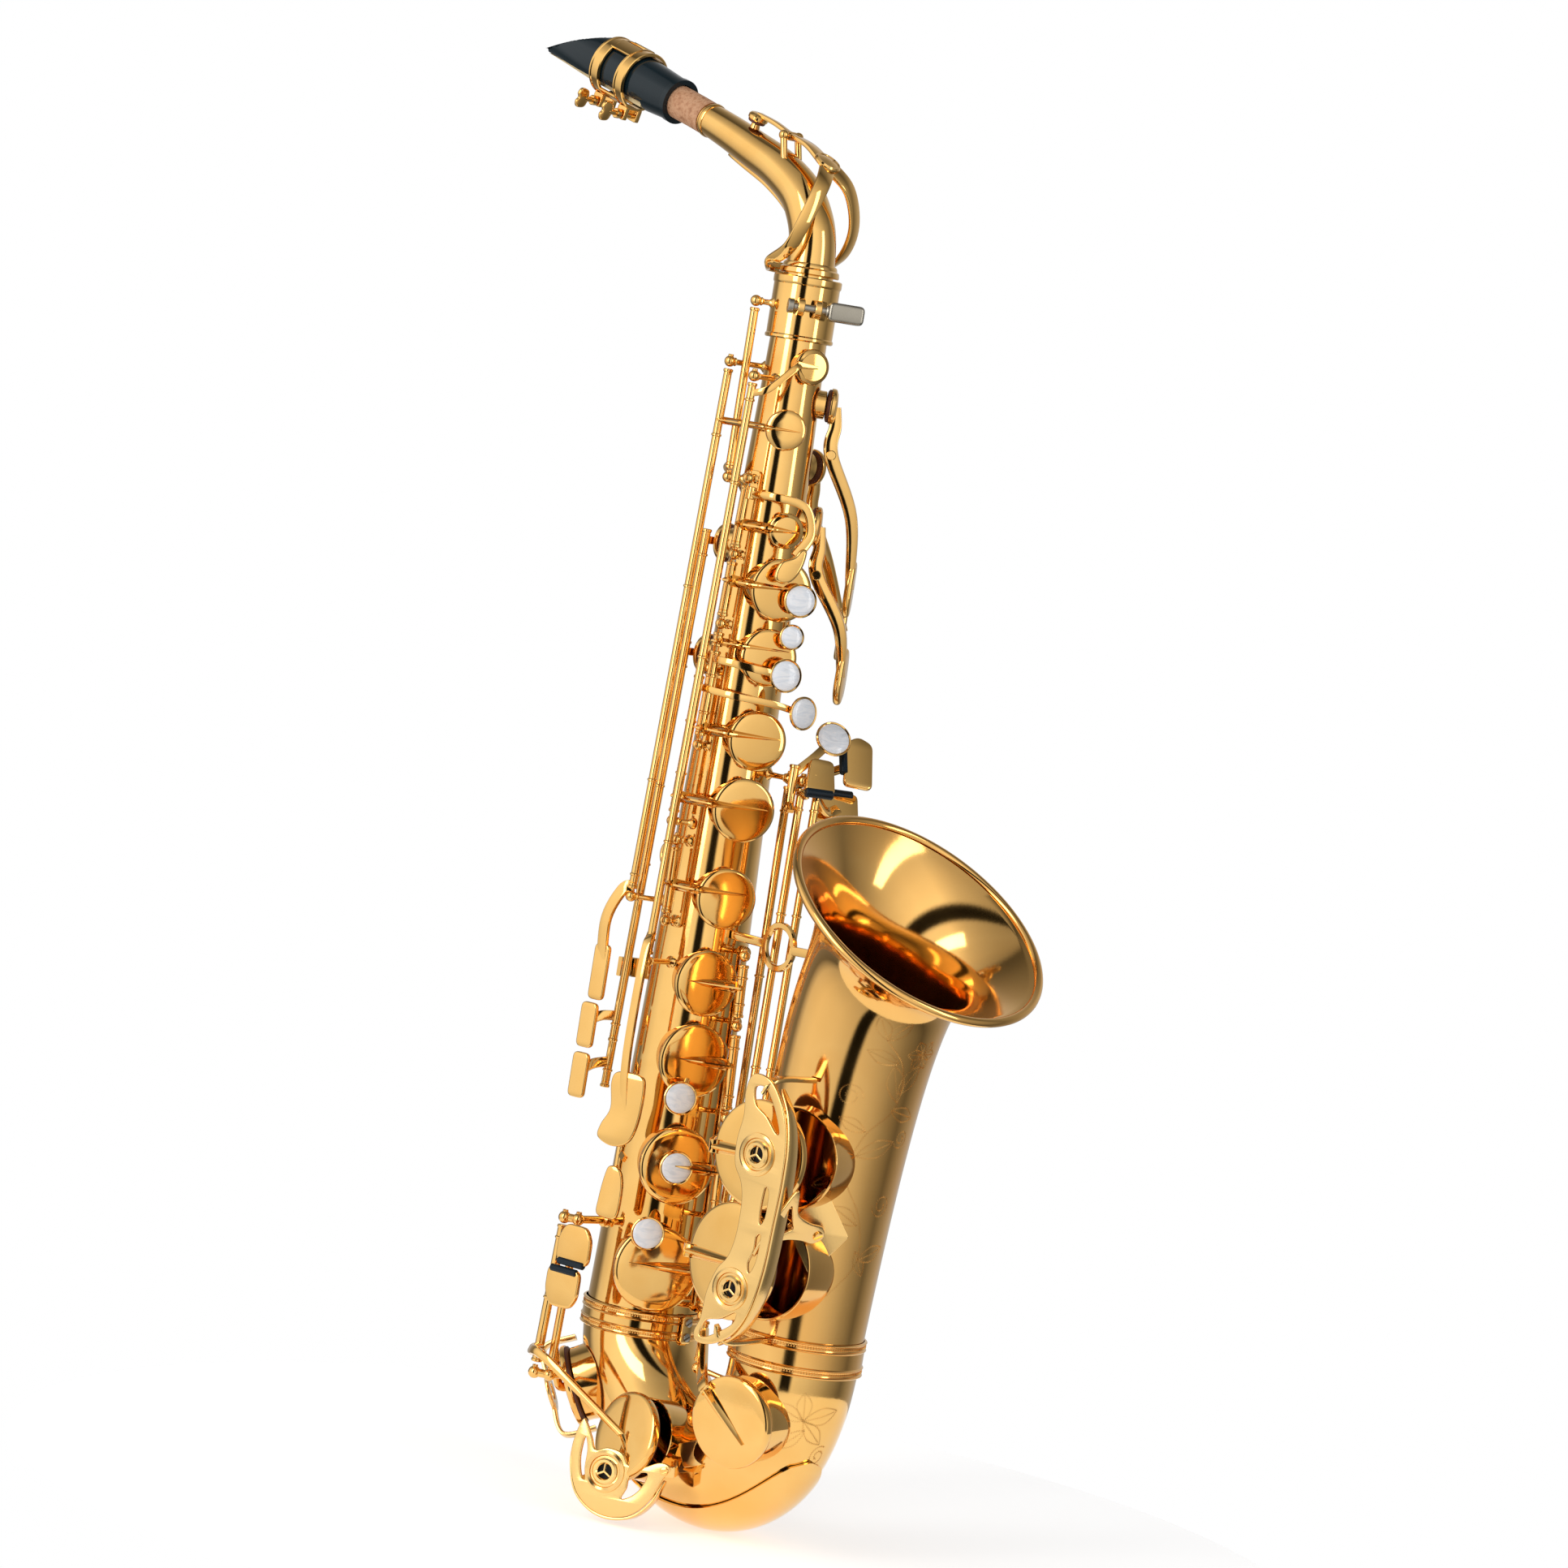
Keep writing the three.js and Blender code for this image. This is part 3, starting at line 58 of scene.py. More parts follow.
# ---- driving dimensions ----
GAP = 0.3
WALL = 1.2
BODY = {"bottom": -6.5, "top": 455, "radius": 26.4, "taper": 0.0298}
BELL = {"x": 109, "z": 6, "lean": 0.8, "radius": 28.8, "cone": 7.8, "rim_x": 143.3, "rim_z": 204.3}
FLARE = {"start": 0.77, "power": 3.2}
RIM = {"radius": 61.5, "lean": 36.2, "bead": 2.1}
HANDLES = {"bell_low": 145.8, "bell_rim": 37.5, "bow_body": 45, "bow_bell": 105}
NECK_TURN = 6
CUP = {"body": 4.9, "low": 6}
ARM = {"width": 5.4, "height": 4.4, "reach": 0.72}
CHIMNEY = {"height": 3, "wall": 1.1, "margin": 1.7, "low": 6}
TUBE = {"stack": 2.2, "side": 1.9}
LIFT = {"stack": 3.2, "bell": 8, "c": 6, "small": 2.4}
STRAP_RING = {"z": 205, "reach": 12}
TABLE = {"tube_top": 247.4, "arm": 244.4, "posts": 251}
THUMB_REST = {"z": 337, "azimuth": 140}
BRACE = {"z": 177, "y": -2.6, "ring_x": 57, "bell_wall": 89.4}
NECK = {"radius": 11.8, "end_radius": 6.4, "power": 1.15}
CURVE_LENGTH = {"bell": 205, "bow": 230}
REED_FACE = -7.95
LIGATURE_BANDS = (30, 48)


def vec(x, y, z):
    return Vector((x, y, z))


UP = vec(0, 0, 1)
SIDE = vec(0, 1, 0)


def around(deg):
    angle = math.radians(deg)
    return vec(math.cos(angle), math.sin(angle), 0)


def tangent(deg):
    return around(deg + 90)


def circle_angles(sides):
    return [2 * math.pi * i / sides for i in range(sides)]


def lean_by(deg):
    angle = math.radians(deg)
    return vec(math.sin(angle), 0, math.cos(angle))


def body_radius(z):
    return BODY["radius"] - BODY["taper"] * z


def on_body(z, theta, height=0.0):
    place = around(theta) * (body_radius(z) + height)
    place.z = z
    return place


RING_OUT = body_radius(STRAP_RING["z"]) + GAP + 0.8 + STRAP_RING["reach"] - 1
SHIFT = vec(RING_OUT, 0, -STRAP_RING["z"])


def metres(point):
    return (point + SHIFT) * 0.001


def add_object(name, data):
    made = bpy.data.objects.new(name, data)
    bpy.context.scene.collection.objects.link(made)
    return made


# ---- camera ----
CAMERA = {
    "azimuth": 40.08, "distance": 2522.84, "height": 405.98,
    "pan": 0.58, "pitch": 3.6, "roll": 9.12, "lens": 126.73,
}


def place_camera():
    azimuth, pan, pitch, roll = (math.radians(CAMERA[k]) for k in ("azimuth", "pan", "pitch", "roll"))
    to_front = vec(-math.cos(azimuth), math.sin(azimuth), 0)
    to_right = vec(math.sin(azimuth), math.cos(azimuth), 0)
    ahead = to_front * math.cos(pan) + to_right * math.sin(pan)
    right = to_right * math.cos(pan) - to_front * math.sin(pan)
    forward = ahead * math.cos(pitch) - UP * math.sin(pitch)
    upward = UP * math.cos(pitch) + ahead * math.sin(pitch)
    rolled_right = right * math.cos(roll) + upward * math.sin(roll)
    rolled_up = upward * math.cos(roll) - right * math.sin(roll)
    place = vec(CAMERA["distance"] * math.cos(azimuth), -CAMERA["distance"] * math.sin(azimuth),
                CAMERA["height"])
    data = bpy.data.cameras.new("camera")
    data.lens = CAMERA["lens"]
    data.sensor_width = 36
    camera = add_object("camera", data)
    turn = Matrix((rolled_right, rolled_up, -forward)).transposed().to_4x4()
    camera.matrix_world = Matrix.Translation(metres(place)) @ turn
    bpy.context.scene.camera = camera


place_camera()


# ---- curves ----
class Curve:
    """A smooth path, read by the share of its length: 0 at its start, 1 at its end."""

    def __init__(self, points):
        self.points = points
        lengths = [0.0]
        for a, b in zip(points, points[1:]):
            lengths.append(lengths[-1] + (b - a).length)
        self.shares = [length / lengths[-1] for length in lengths]

    def at(self, t):
        t = min(max(t, 0.0), 1.0)
        i = next((k for k, share in enumerate(self.shares) if share >= t), len(self.shares) - 1)
        i = max(i, 1)
        span = self.shares[i] - self.shares[i - 1]
        return self.points[i - 1].lerp(self.points[i], (t - self.shares[i - 1]) / span)

    def ahead(self, t):
        step = 0.004
        return (self.at(min(t + step, 1)) - self.at(max(t - step, 0))).normalized()


def bezier(p0, p1, p2, p3, steps=240):
    points = []
    for i in range(steps + 1):
        t = i / steps
        s = 1 - t
        points.append(p0 * s**3 + p1 * 3 * s * s * t + p2 * 3 * s * t * t + p3 * t**3)
    return Curve(points)


def smooth_between(a, b, c, d, t):
    """The point at share t from b to c, on a smooth curve through a, b, c and d."""
    bend, twist = a * 2 - b * 5 + c * 4 - d, b * 3 - a - c * 3 + d
    return 0.5 * (b * 2 + (c - a) * t + bend * t * t + twist * t**3)


def through(points, steps=8):
    """Points of a smooth curve through the given ones."""
    ends = [points[0] * 2 - points[1], *points, points[-1] * 2 - points[-2]]
    made = []
    for a, b, c, d in zip(ends, ends[1:], ends[2:], ends[3:]):
        made += [smooth_between(a, b, c, d, i / steps) for i in range(steps)]
    return [*made, points[-1].copy()]


# ---- shapes ----
def basis(direction, hint=None):
    """Two directions square to the given one."""
    along = direction.normalized()
    hint = hint or (UP if abs(along.z) < 0.9 else vec(1, 0, 0))
    across = hint.cross(along).normalized()
    return across, along.cross(across)


class Shape:
    """Points and faces that grow into one mesh."""

    def __init__(self):
        self.points = []
        self.faces = []

    def add(self, points, faces):
        start = len(self.points)
        self.points += points
        self.faces += [[start + i for i in face] for face in faces]
        return self

    def join(self, *others):
        for other in others:
            self.add(other.points, other.faces)
        return self

    def moved(self, matrix):
        self.points = [matrix @ point for point in self.points]
        return self

    def turned(self, line, angle):
        spin = Matrix.Rotation(angle, 4, line.direction)
        origin = Matrix.Translation(line.at(0))
        return self.moved(origin @ spin @ origin.inverted())


def loft(rings, closed=False):
    """A skin over rings of points. A ring of one point is a tip; open ends are capped."""
    shape = Shape()
    points, starts = [], []
    for ring in rings:
        starts.append(len(points))
        points += ring
    faces = []
    pairs = list(zip(range(len(rings)), range(1, len(rings))))
    if closed:
        pairs.append((len(rings) - 1, 0))
    for a, b in pairs:
        count = max(len(rings[a]), len(rings[b]))
        for i in range(count):
            j = (i + 1) % count
            quad = []
            for ring, k in ((a, i), (a, j), (b, j), (b, i)):
                index = starts[ring] + (k if len(rings[ring]) > 1 else 0)
                if index not in quad:
                    quad.append(index)
            if len(quad) > 2:
                faces.append(quad)
    if not closed:
        for ring, flip in ((0, True), (len(rings) - 1, False)):
            if len(rings[ring]) > 1:
                cap = list(range(starts[ring], starts[ring] + len(rings[ring])))
                faces.append(cap[::-1] if flip else cap)
    return shape.add(points, faces)


def revolve(profile, origin, direction, sides=40, closed=False):
    """A turned solid. The profile is [radius, height] pairs standing on the origin."""
    across, over = basis(direction)
    along = direction.normalized()
    rings = []
    for radius, height in profile:
        center = origin + along * height
        if radius < 1e-6:
            rings.append([center])
            continue
        rings.append([center + across * (math.cos(a) * radius) + over * (math.sin(a) * radius)
                      for a in circle_angles(sides)])
    return loft(rings, closed)


def round_section(radius, sides=12):
    return [(math.cos(a) * radius, math.sin(a) * radius) for a in circle_angles(sides)]


def flat_section(width, thickness, corner=0.45):
    """A flat bar's section with rounded corners."""
    corner = min(corner, thickness * 0.49, width * 0.49)
    w, h = width / 2 - corner, thickness / 2 - corner
    points = []
    for cx, cy, start in ((w, h, 0), (-w, h, 90), (-w, -h, 180), (w, -h, 270)):
        for step in (0, 45, 90):
            a = math.radians(start + step)
            points.append((cx + math.cos(a) * corner, cy + math.sin(a) * corner))
    return points


def spine_section(width, height):
    """A key arm's section: flat below, rising to a narrow rounded ridge."""
    w = width / 2
    half = [(w, -0.1 * height), (w * 0.96, 0.12 * height), (w * 0.52, 0.42 * height),
            (w * 0.3, 0.78 * height), (w * 0.16, 0.98 * height)]
    return [*half, *[(-x, y) for x, y in half[::-1]]]


def sweep(path, section, normal=None):
    """A bar along a path.

    section is a list of (side, over) pairs, or a function that makes one from the share of the way.
    """
    rings = []
    over = None
    for i, point in enumerate(path):
        ahead = (path[min(i + 1, len(path) - 1)] - path[max(i - 1, 0)]).normalized()
        if normal is not None:
            over = normal
        elif over is None:
            over = basis(ahead)[1]
        over = (over - ahead * over.dot(ahead)).normalized()
        across = over.cross(ahead)
        outline = section(i / (len(path) - 1)) if callable(section) else section
        rings.append([point + across * x + over * y for x, y in outline])
    return loft(rings)


def rod(start, end, radius, sides=16, end_radius=None):
    length = (end - start).length
    end_radius = radius if end_radius is None else end_radius
    bevel = min(0.35, radius * 0.25, length * 0.2)
    profile = [(0, 0), (radius - bevel, 0), (radius, bevel), (end_radius, length - bevel),
               (end_radius - bevel, length), (0, length)]
    return revolve(profile, start, end - start, sides)


def bar(start, end, width, thickness, normal, end_width=None):
    end_width = width if end_width is None else end_width
    path = [start, start.lerp(end, 0.5), end]
    return sweep(path, lambda t: flat_section(width + (end_width - width) * t, thickness), normal)


def strap(points, width, thickness, normal, steps=6):
    return sweep(through(points, steps), flat_section(width, thickness), normal)


def spine(points, width, height, normal, tip=0.3, steps=8):
    """A tapering key arm with a ridge, widest where it leaves its tube."""
    def section(t):
        share = 1 + (tip - 1) * t**2.4
        return spine_section(width * share, height * (0.35 + 0.65 * share))
    return sweep(through(points, steps), section, normal)


# ---- flat plates, from outlines ----
def circle(x, y, radius, sides=48):
    return [(x + math.cos(a) * radius, y + math.sin(a) * radius) for a in circle_angles(sides)]


def rounded(corners, radius=2.0, steps=5):
    """An outline through corner points with each corner rounded."""
    outline = []
    count = len(corners)
    for i, corner in enumerate(corners):
        here = Vector(corner)
        back = Vector(corners[i - 1]) - here
        on = Vector(corners[(i + 1) % count]) - here
        reach = min(radius, back.length * 0.45, on.length * 0.45)
        a, b = here + back.normalized() * reach, here + on.normalized() * reach
        for k in range(steps + 1):
            t = k / steps
            point = a * (1 - t) ** 2 + here * 2 * t * (1 - t) + b * t * t
            outline.append((point.x, point.y))
    return outline


def rounded_box(width, height, radius):
    w, h = width / 2, height / 2
    return rounded([(-w, -h), (w, -h), (w, h), (-w, h)], radius)


def plate(outline, thickness, origin, x, y, holes=(), bevel=0.35):
    """A flat plate with rounded edges, centred on its thickness."""
    data = bpy.data.curves.new("outline", "CURVE")
    data.dimensions = "2D"
    data.fill_mode = "BOTH"
    bevel = min(bevel, thickness * 0.45)
    data.extrude = max(thickness / 2 - bevel, 0.01)
    data.bevel_depth = bevel
    data.bevel_resolution = 2
    data.offset = -bevel
    for ring in (outline, *holes):
        spline = data.splines.new("POLY")
        spline.points.add(len(ring) - 1)
        for point, (px, py) in zip(spline.points, ring):
            point.co = (px, py, 0, 1)
        spline.use_cyclic_u = True
    holder = bpy.data.objects.new("outline", data)
    mesh = holder.to_mesh()
    turn = Matrix((x.normalized(), y.normalized(), x.cross(y).normalized())).transposed().to_4x4()
    place = Matrix.Translation(origin) @ turn
    points = [place @ vertex.co for vertex in mesh.vertices]
    faces = [list(polygon.vertices) for polygon in mesh.polygons]
    holder.to_mesh_clear()
    bpy.data.objects.remove(holder)
    bpy.data.curves.remove(data)
    return Shape().add(points, faces)


# ---- materials ----
def new_material(name):
    material = bpy.data.materials.new(name)
    material.use_nodes = True
    return material, material.node_tree.nodes, material.node_tree.links


def noise(nodes, links, scale, detail=3.0, stretch=None):
    """Noise in object space, finer with a larger scale."""
    coordinate = nodes.new("ShaderNodeTexCoord")
    mapping = nodes.new("ShaderNodeMapping")
    mapping.inputs["Scale"].default_value = stretch or (1, 1, 1)
    texture = nodes.new("ShaderNodeTexNoise")
    texture.inputs["Scale"].default_value = scale
    texture.inputs["Detail"].default_value = detail
    links.new(coordinate.outputs["Object"], mapping.inputs["Vector"])
    links.new(mapping.outputs["Vector"], texture.inputs["Vector"])
    return texture


def ramp(nodes, links, source, stops):
    node = nodes.new("ShaderNodeValToRGB")
    node.color_ramp.elements[0].position = stops[0][0]
    node.color_ramp.elements[0].color = (*stops[0][1], 1)
    node.color_ramp.elements[1].position = stops[-1][0]
    node.color_ramp.elements[1].color = (*stops[-1][1], 1)
    for position, color in stops[1:-1]:
        node.color_ramp.elements.new(position).color = (*color, 1)
    links.new(source, node.inputs["Fac"])
    return node


def between(nodes, links, source, low, high):
    """Maps noise's middle range onto two values."""
    node = nodes.new("ShaderNodeMapRange")
    node.inputs["From Min"].default_value = 0.3
    node.inputs["From Max"].default_value = 0.7
    node.inputs["To Min"].default_value = low
    node.inputs["To Max"].default_value = high
    links.new(source, node.inputs["Value"])
    return node.outputs["Result"]


def surface(name, colors, roughness, metallic=0.0, grain=60, bump=0.02, bump_scale=900,
            stretch=None, coat=0.0, specular=0.5):
    """A finish: colour and roughness drift with one noise, fine relief comes from another."""
    material, nodes, links = new_material(name)
    shader = nodes["Principled BSDF"]
    shader.inputs["Metallic"].default_value = metallic
    shader.inputs["Coat Weight"].default_value = coat
    shader.inputs["Coat Roughness"].default_value = 0.06
    shader.inputs["Specular IOR Level"].default_value = specular
    drift = noise(nodes, links, grain, 4, stretch)
    stops = [(0.25 + 0.5 * i / max(len(colors) - 1, 1), color) for i, color in enumerate(colors)]
    links.new(ramp(nodes, links, drift.outputs["Fac"], stops).outputs["Color"], shader.inputs["Base Color"])
    links.new(between(nodes, links, drift.outputs["Fac"], *roughness), shader.inputs["Roughness"])
    fine = noise(nodes, links, bump_scale, 2, stretch)
    relief = nodes.new("ShaderNodeBump")
    relief.inputs["Strength"].default_value = bump
    relief.inputs["Distance"].default_value = 0.0004
    links.new(fine.outputs["Fac"], relief.inputs["Height"])
    links.new(relief.outputs["Normal"], shader.inputs["Normal"])
    return material


GOLD = [(0.85, 0.48, 0.13), (0.89, 0.53, 0.165), (0.83, 0.45, 0.115)]
MATERIALS = {
    "brass": surface("lacquered_brass", GOLD, (0.05, 0.11), 1, 25, 0.012, 500, coat=0.12),
    "bell": surface("bell_brass", [(0.85, 0.46, 0.125), (0.89, 0.51, 0.155), (0.83, 0.43, 0.11)],
                    (0.07, 0.13), 1, 18, 0.015, 700, coat=0.12),
    "satin": surface("satin_brass", [(0.85, 0.53, 0.18), (0.88, 0.57, 0.21)], (0.14, 0.22), 1, 30, 0.03,
                     800, coat=0.15),
    "cut": surface("engraved_line", [(0.50, 0.28, 0.08), (0.62, 0.37, 0.12)], (0.25, 0.4), 1, 90, 0.05,
                   900),
    "nickel": surface("nickel", [(0.32, 0.29, 0.23), (0.44, 0.40, 0.33)], (0.22, 0.4), 1, 120, 0.08, 900),
    "steel": surface("blued_steel", [(0.20, 0.21, 0.24), (0.32, 0.33, 0.36)], (0.2, 0.35), 1, 200, 0.05,
                     900),
    "ebonite": surface("ebonite", [(0.004, 0.011, 0.015), (0.008, 0.018, 0.024)], (0.07, 0.14), 0, 40, 0.03,
                       900, coat=0.1, specular=0.3),
    "roller": surface("roller", [(0.004, 0.010, 0.016), (0.008, 0.016, 0.024)], (0.25, 0.4), 0, 60, 0.03,
                      900, specular=0.2),
    "leather": surface("pad_leather", [(0.06, 0.013, 0.006), (0.11, 0.028, 0.012), (0.05, 0.01, 0.005)],
                       (0.42, 0.6), 0, 220, 0.25, 1400),
    "felt": surface("felt", [(0.012, 0.011, 0.012), (0.03, 0.028, 0.03)], (0.85, 1.0), 0, 500, 0.6, 2600),
    "cork": surface("cork", [(0.30, 0.12, 0.05), (0.50, 0.24, 0.12), (0.62, 0.34, 0.19),
                             (0.34, 0.15, 0.07)], (0.6, 0.85), 0, 420, 0.5, 1500),
    "cane": surface("cane", [(0.55, 0.40, 0.18), (0.74, 0.58, 0.32), (0.62, 0.45, 0.21)],
                    (0.4, 0.6), 0, 220, 0.25, 900, stretch=(1, 1, 9)),
}


def pearl_material():
    """Mother of pearl: cloudy white bands that drift from warm to cool."""
    material, nodes, links = new_material("mother_of_pearl")
    shader = nodes["Principled BSDF"]
    shader.inputs["Coat Weight"].default_value = 0.6
    shader.inputs["Coat Roughness"].default_value = 0.04
    shader.inputs["Roughness"].default_value = 0.22
    shader.inputs["Sheen Weight"].default_value = 0.1
    clouds = noise(nodes, links, 130, 5, (1, 0.5, 1.6))
    clouds.inputs["Distortion"].default_value = 2.2
    stops = [(0.3, (0.66, 0.69, 0.73)), (0.45, (0.76, 0.79, 0.84)),
             (0.56, (0.86, 0.86, 0.88)), (0.7, (0.80, 0.84, 0.88))]
    colors = ramp(nodes, links, clouds.outputs["Fac"], stops)
    links.new(colors.outputs["Color"], shader.inputs["Base Color"])
    relief = nodes.new("ShaderNodeBump")
    relief.inputs["Strength"].default_value = 0.06
    relief.inputs["Distance"].default_value = 0.0003
    links.new(clouds.outputs["Fac"], relief.inputs["Height"])
    links.new(relief.outputs["Normal"], shader.inputs["Normal"])
    return material


MATERIALS["pearl"] = pearl_material()
SMOOTH_ANGLE = math.radians(32)


def put(name, shape, body, look="brass", replaces=()):
    """Makes one visible piece of a shape and hangs it on its body."""
    mesh = bpy.data.meshes.new(name)
    mesh.from_pydata([metres(point) for point in shape.points], [], shape.faces)
    mesh.validate()
    tidy = bmesh.new()
    tidy.from_mesh(mesh)
    bmesh.ops.remove_doubles(tidy, verts=tidy.verts, dist=1e-7)
    bmesh.ops.recalc_face_normals(tidy, faces=tidy.faces)
    for face in tidy.faces:
        face.smooth = True
    for edge in tidy.edges:
        edge.smooth = not (len(edge.link_faces) == 2 and edge.calc_face_angle(0) > SMOOTH_ANGLE)
    tidy.to_mesh(mesh)
    tidy.free()
    piece = add_object(name, mesh)
    mesh.materials.append(MATERIALS[look])
    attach(piece, body)
    if replaces:
        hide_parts(*([replaces] if isinstance(replaces, str) else replaces))
    return piece


# ---- hinge lines and tone holes ----
class Line:
    """A hinge's axis, read by height."""

    def __init__(self, low, high):
        self.low = low
        self.direction = (high - low).normalized()

    def at(self, z):
        return self.low + self.direction * ((z - self.low.z) / self.direction.z)


LINES = {
    "upper": Line(vec(6, -27.6, 216), vec(6.4, -22.1, 377)),
    "g": Line(vec(0.5, -29.4, 226), vec(0.8, -27.3, 290)),
    "g_sharp": Line(vec(7, -29.9, 184), vec(5.7, -29.3, 213)),
    "lower": Line(vec(44.1, -2.8, 22), vec(36.4, -3.6, 154)),
    "high_e": Line(vec(-17.5, -31.5, 192), vec(-14.5, -26.2, 428)),
    "octave": Line(vec(-9, -21, 385), vec(-9, -21, 460)),
    "high_f_sharp": Line(vec(8.7, -38, 161), vec(8.4, -29.8, 423)),
    "table_c_sharp": Line(vec(37, 7, 14), vec(28.5, 12, 252)),
    "table_b": Line(vec(52, -1, 50), vec(34.5, 15, 252)),
    "table_b_flat": Line(vec(63, -2, 10), vec(37, 22.5, 252)),
    "low_c_sharp": Line(vec(64, -17, -30), vec(64, -17, 6)),
    "side_c": Line(vec(-21, -28, 60), vec(-20, -19, 360)),
    "side_b_flat": Line(vec(-25, -24.5, 60), vec(-24, -15.5, 360)),
    "front_f": Line(vec(11, -23, 366), vec(10.5, -22.2, 378)),
    "low_c": Line(vec(-11, -49.5, -40), vec(-9.5, -47, 40)),
    "low_e_flat": Line(vec(-5.5, -45, -40), vec(-4.5, -43, 40)),
    "trill": Line(vec(10, -37, 46), vec(9.4, -36.4, 74)),
    "g_sharp_table": Line(vec(34, 9.5, 236), vec(33.4, 9.8, 262)),
}


class Hole:
    """A tone hole: which way it faces, its cup's radius, and the middle of its rim."""

    def __init__(self, facing, cup, seat, root, ahead=UP):
        self.facing, self.cup, self.seat, self.root, self.ahead = facing, cup, seat, root, ahead
        self.radius = cup - CHIMNEY["margin"]

    def top(self, thickness):
        return self.seat + self.facing * (GAP + thickness - 0.4)


def body_hole(z, theta, cup):
    return Hole(around(theta), cup, on_body(z, theta, CHIMNEY["height"]), on_body(z, theta, -WALL - 8))


bell_start = vec(BELL["x"], 0, BELL["z"])
rim_center = vec(BELL["rim_x"], 0, BELL["rim_z"])
low_lean = lean_by(BELL["lean"])
rim_lean = lean_by(RIM["lean"])
bell_curve = bezier(
    bell_start, bell_start + low_lean * HANDLES["bell_low"],
    rim_center - rim_lean * HANDLES["bell_rim"], rim_center,
)
bow_end = bell_start - low_lean * 3
bow_curve = bezier(
    vec(0, 0, BODY["bottom"] - GAP), vec(0, 0, BODY["bottom"] - HANDLES["bow_body"]),
    bow_end - low_lean * HANDLES["bow_bell"], bow_end,
)


def bell_radius(t):
    flare = max(0, (t - FLARE["start"]) / (1 - FLARE["start"])) ** FLARE["power"]
    return BELL["radius"] + BELL["cone"] * t + (RIM["radius"] - BELL["radius"] - BELL["cone"]) * flare


def bow_radius(t):
    start = body_radius(BODY["bottom"])
    return start + (BELL["radius"] - start) * t


def bent_hole(curve, radius_at, t, deg, cup, height=CHIMNEY["low"]):
    center, ahead = curve.at(t), curve.ahead(t)
    out = SIDE.cross(ahead)
    facing = (out * math.cos(math.radians(deg)) + SIDE * math.sin(math.radians(deg))).normalized()
    tube = radius_at(t)
    return Hole(facing, cup, center + facing * (tube + height), center + facing * tube * 0.45, ahead)


HOLES = {
    "high_f_sharp": body_hole(437, -16, 8.2),
    "high_e": body_hole(407, -38, 9.3),
    "small_c": body_hole(362, -18, 8.2),
    "b": body_hole(335, -13, 14.4),
    "bis": body_hole(304, -16, 13.2),
    "a": body_hole(266, -15, 13.7),
    "g": body_hole(234, -18, 14.6),
    "g_sharp": body_hole(193, -24, 14),
    "f_sharp": body_hole(154, -30, 15.2),
    "f": body_hole(118.5, -30, 16.9),
    "e": body_hole(70, -31, 17.8),
    "d": body_hole(22, -35, 19.6),
    "palm_f": body_hole(421, 52, 8.2),
    "palm_e_flat": body_hole(392, 92, 8.6),
    "palm_d": body_hole(366, 48, 9),
    "side_c": body_hole(352, -165, 9),
    "side_b_flat": body_hole(300, -168, 9.4),
    "low_b": bent_hole(bell_curve, bell_radius, 0.43, -69, 24.2),
    "low_b_flat": bent_hole(bell_curve, bell_radius, 0.185, -76, 26),
    "low_c_sharp": bent_hole(bow_curve, bow_radius, 0.84, -74, 20.6),
    "low_c": bent_hole(bow_curve, bow_radius, 0.43, -102, 20.4),
    "low_e_flat": bent_hole(bow_curve, bow_radius, 0.128, -42, 19, 4.2),
}
BELL_HOLES = ["low_b", "low_b_flat"]
BOW_HOLES = ["low_c_sharp", "low_c", "low_e_flat"]
BODY_HOLES = [name for name in HOLES if name not in BELL_HOLES + BOW_HOLES]


# ---- small hardware ----
def screw_head(center, facing, radius=1.6, slot_turn=25):
    """A slotted screw head: two half moons on a disc."""
    across, over = basis(facing)
    angle = math.radians(slot_turn)
    x = across * math.cos(angle) + over * math.sin(angle)
    y = facing.normalized().cross(x)
    shape = revolve([(0, 0), (radius, 0), (radius, 0.5), (0, 0.5)], center, facing, 20)
    for side in (-1, 1):
        steps = [math.radians(15 + 150 * i / 10) for i in range(11)]
        moon = [(math.cos(a) * radius * 0.97, side * math.sin(a) * radius * 0.97) for a in steps]
        shape.join(plate(moon, 0.5, center + facing.normalized() * 0.7, x, y, bevel=0.12))
    return shape


def ball(center, radius, direction):
    steps = [math.pi * i / 12 for i in range(13)]
    profile = [(math.sin(a) * radius, -math.cos(a) * radius) for a in steps]
    profile[0], profile[-1] = (0, -radius), (0, radius)
    return revolve(profile, center, direction, 24)


SHORT_POST = 8


def post(foot, head):
    """A post: a flared foot, a waisted stem with a bead, and a ball that holds the hinge."""
    direction = (head - foot).normalized()
    length = (head - foot).length
    stem = 1.35
    profile = [(0, -0.4), (2.7, -0.4), (2.8, 0.7), (2.2, 1.2), (stem, 2.4),
               (stem * 0.92, length * 0.55), (stem * 1.02, length - 3.4), (stem * 1.5, length - 2.6),
               (stem * 1.1, length - 1.8), (0, length - 1.0)]
    if length < SHORT_POST:
        profile = [(0, -0.4), (2.4, -0.4), (2.3, 0.6), (stem, 1.4), (stem, length - 1), (0, length - 0.8)]
    return revolve(profile, foot, direction, 20).join(ball(head, 2.6, direction))


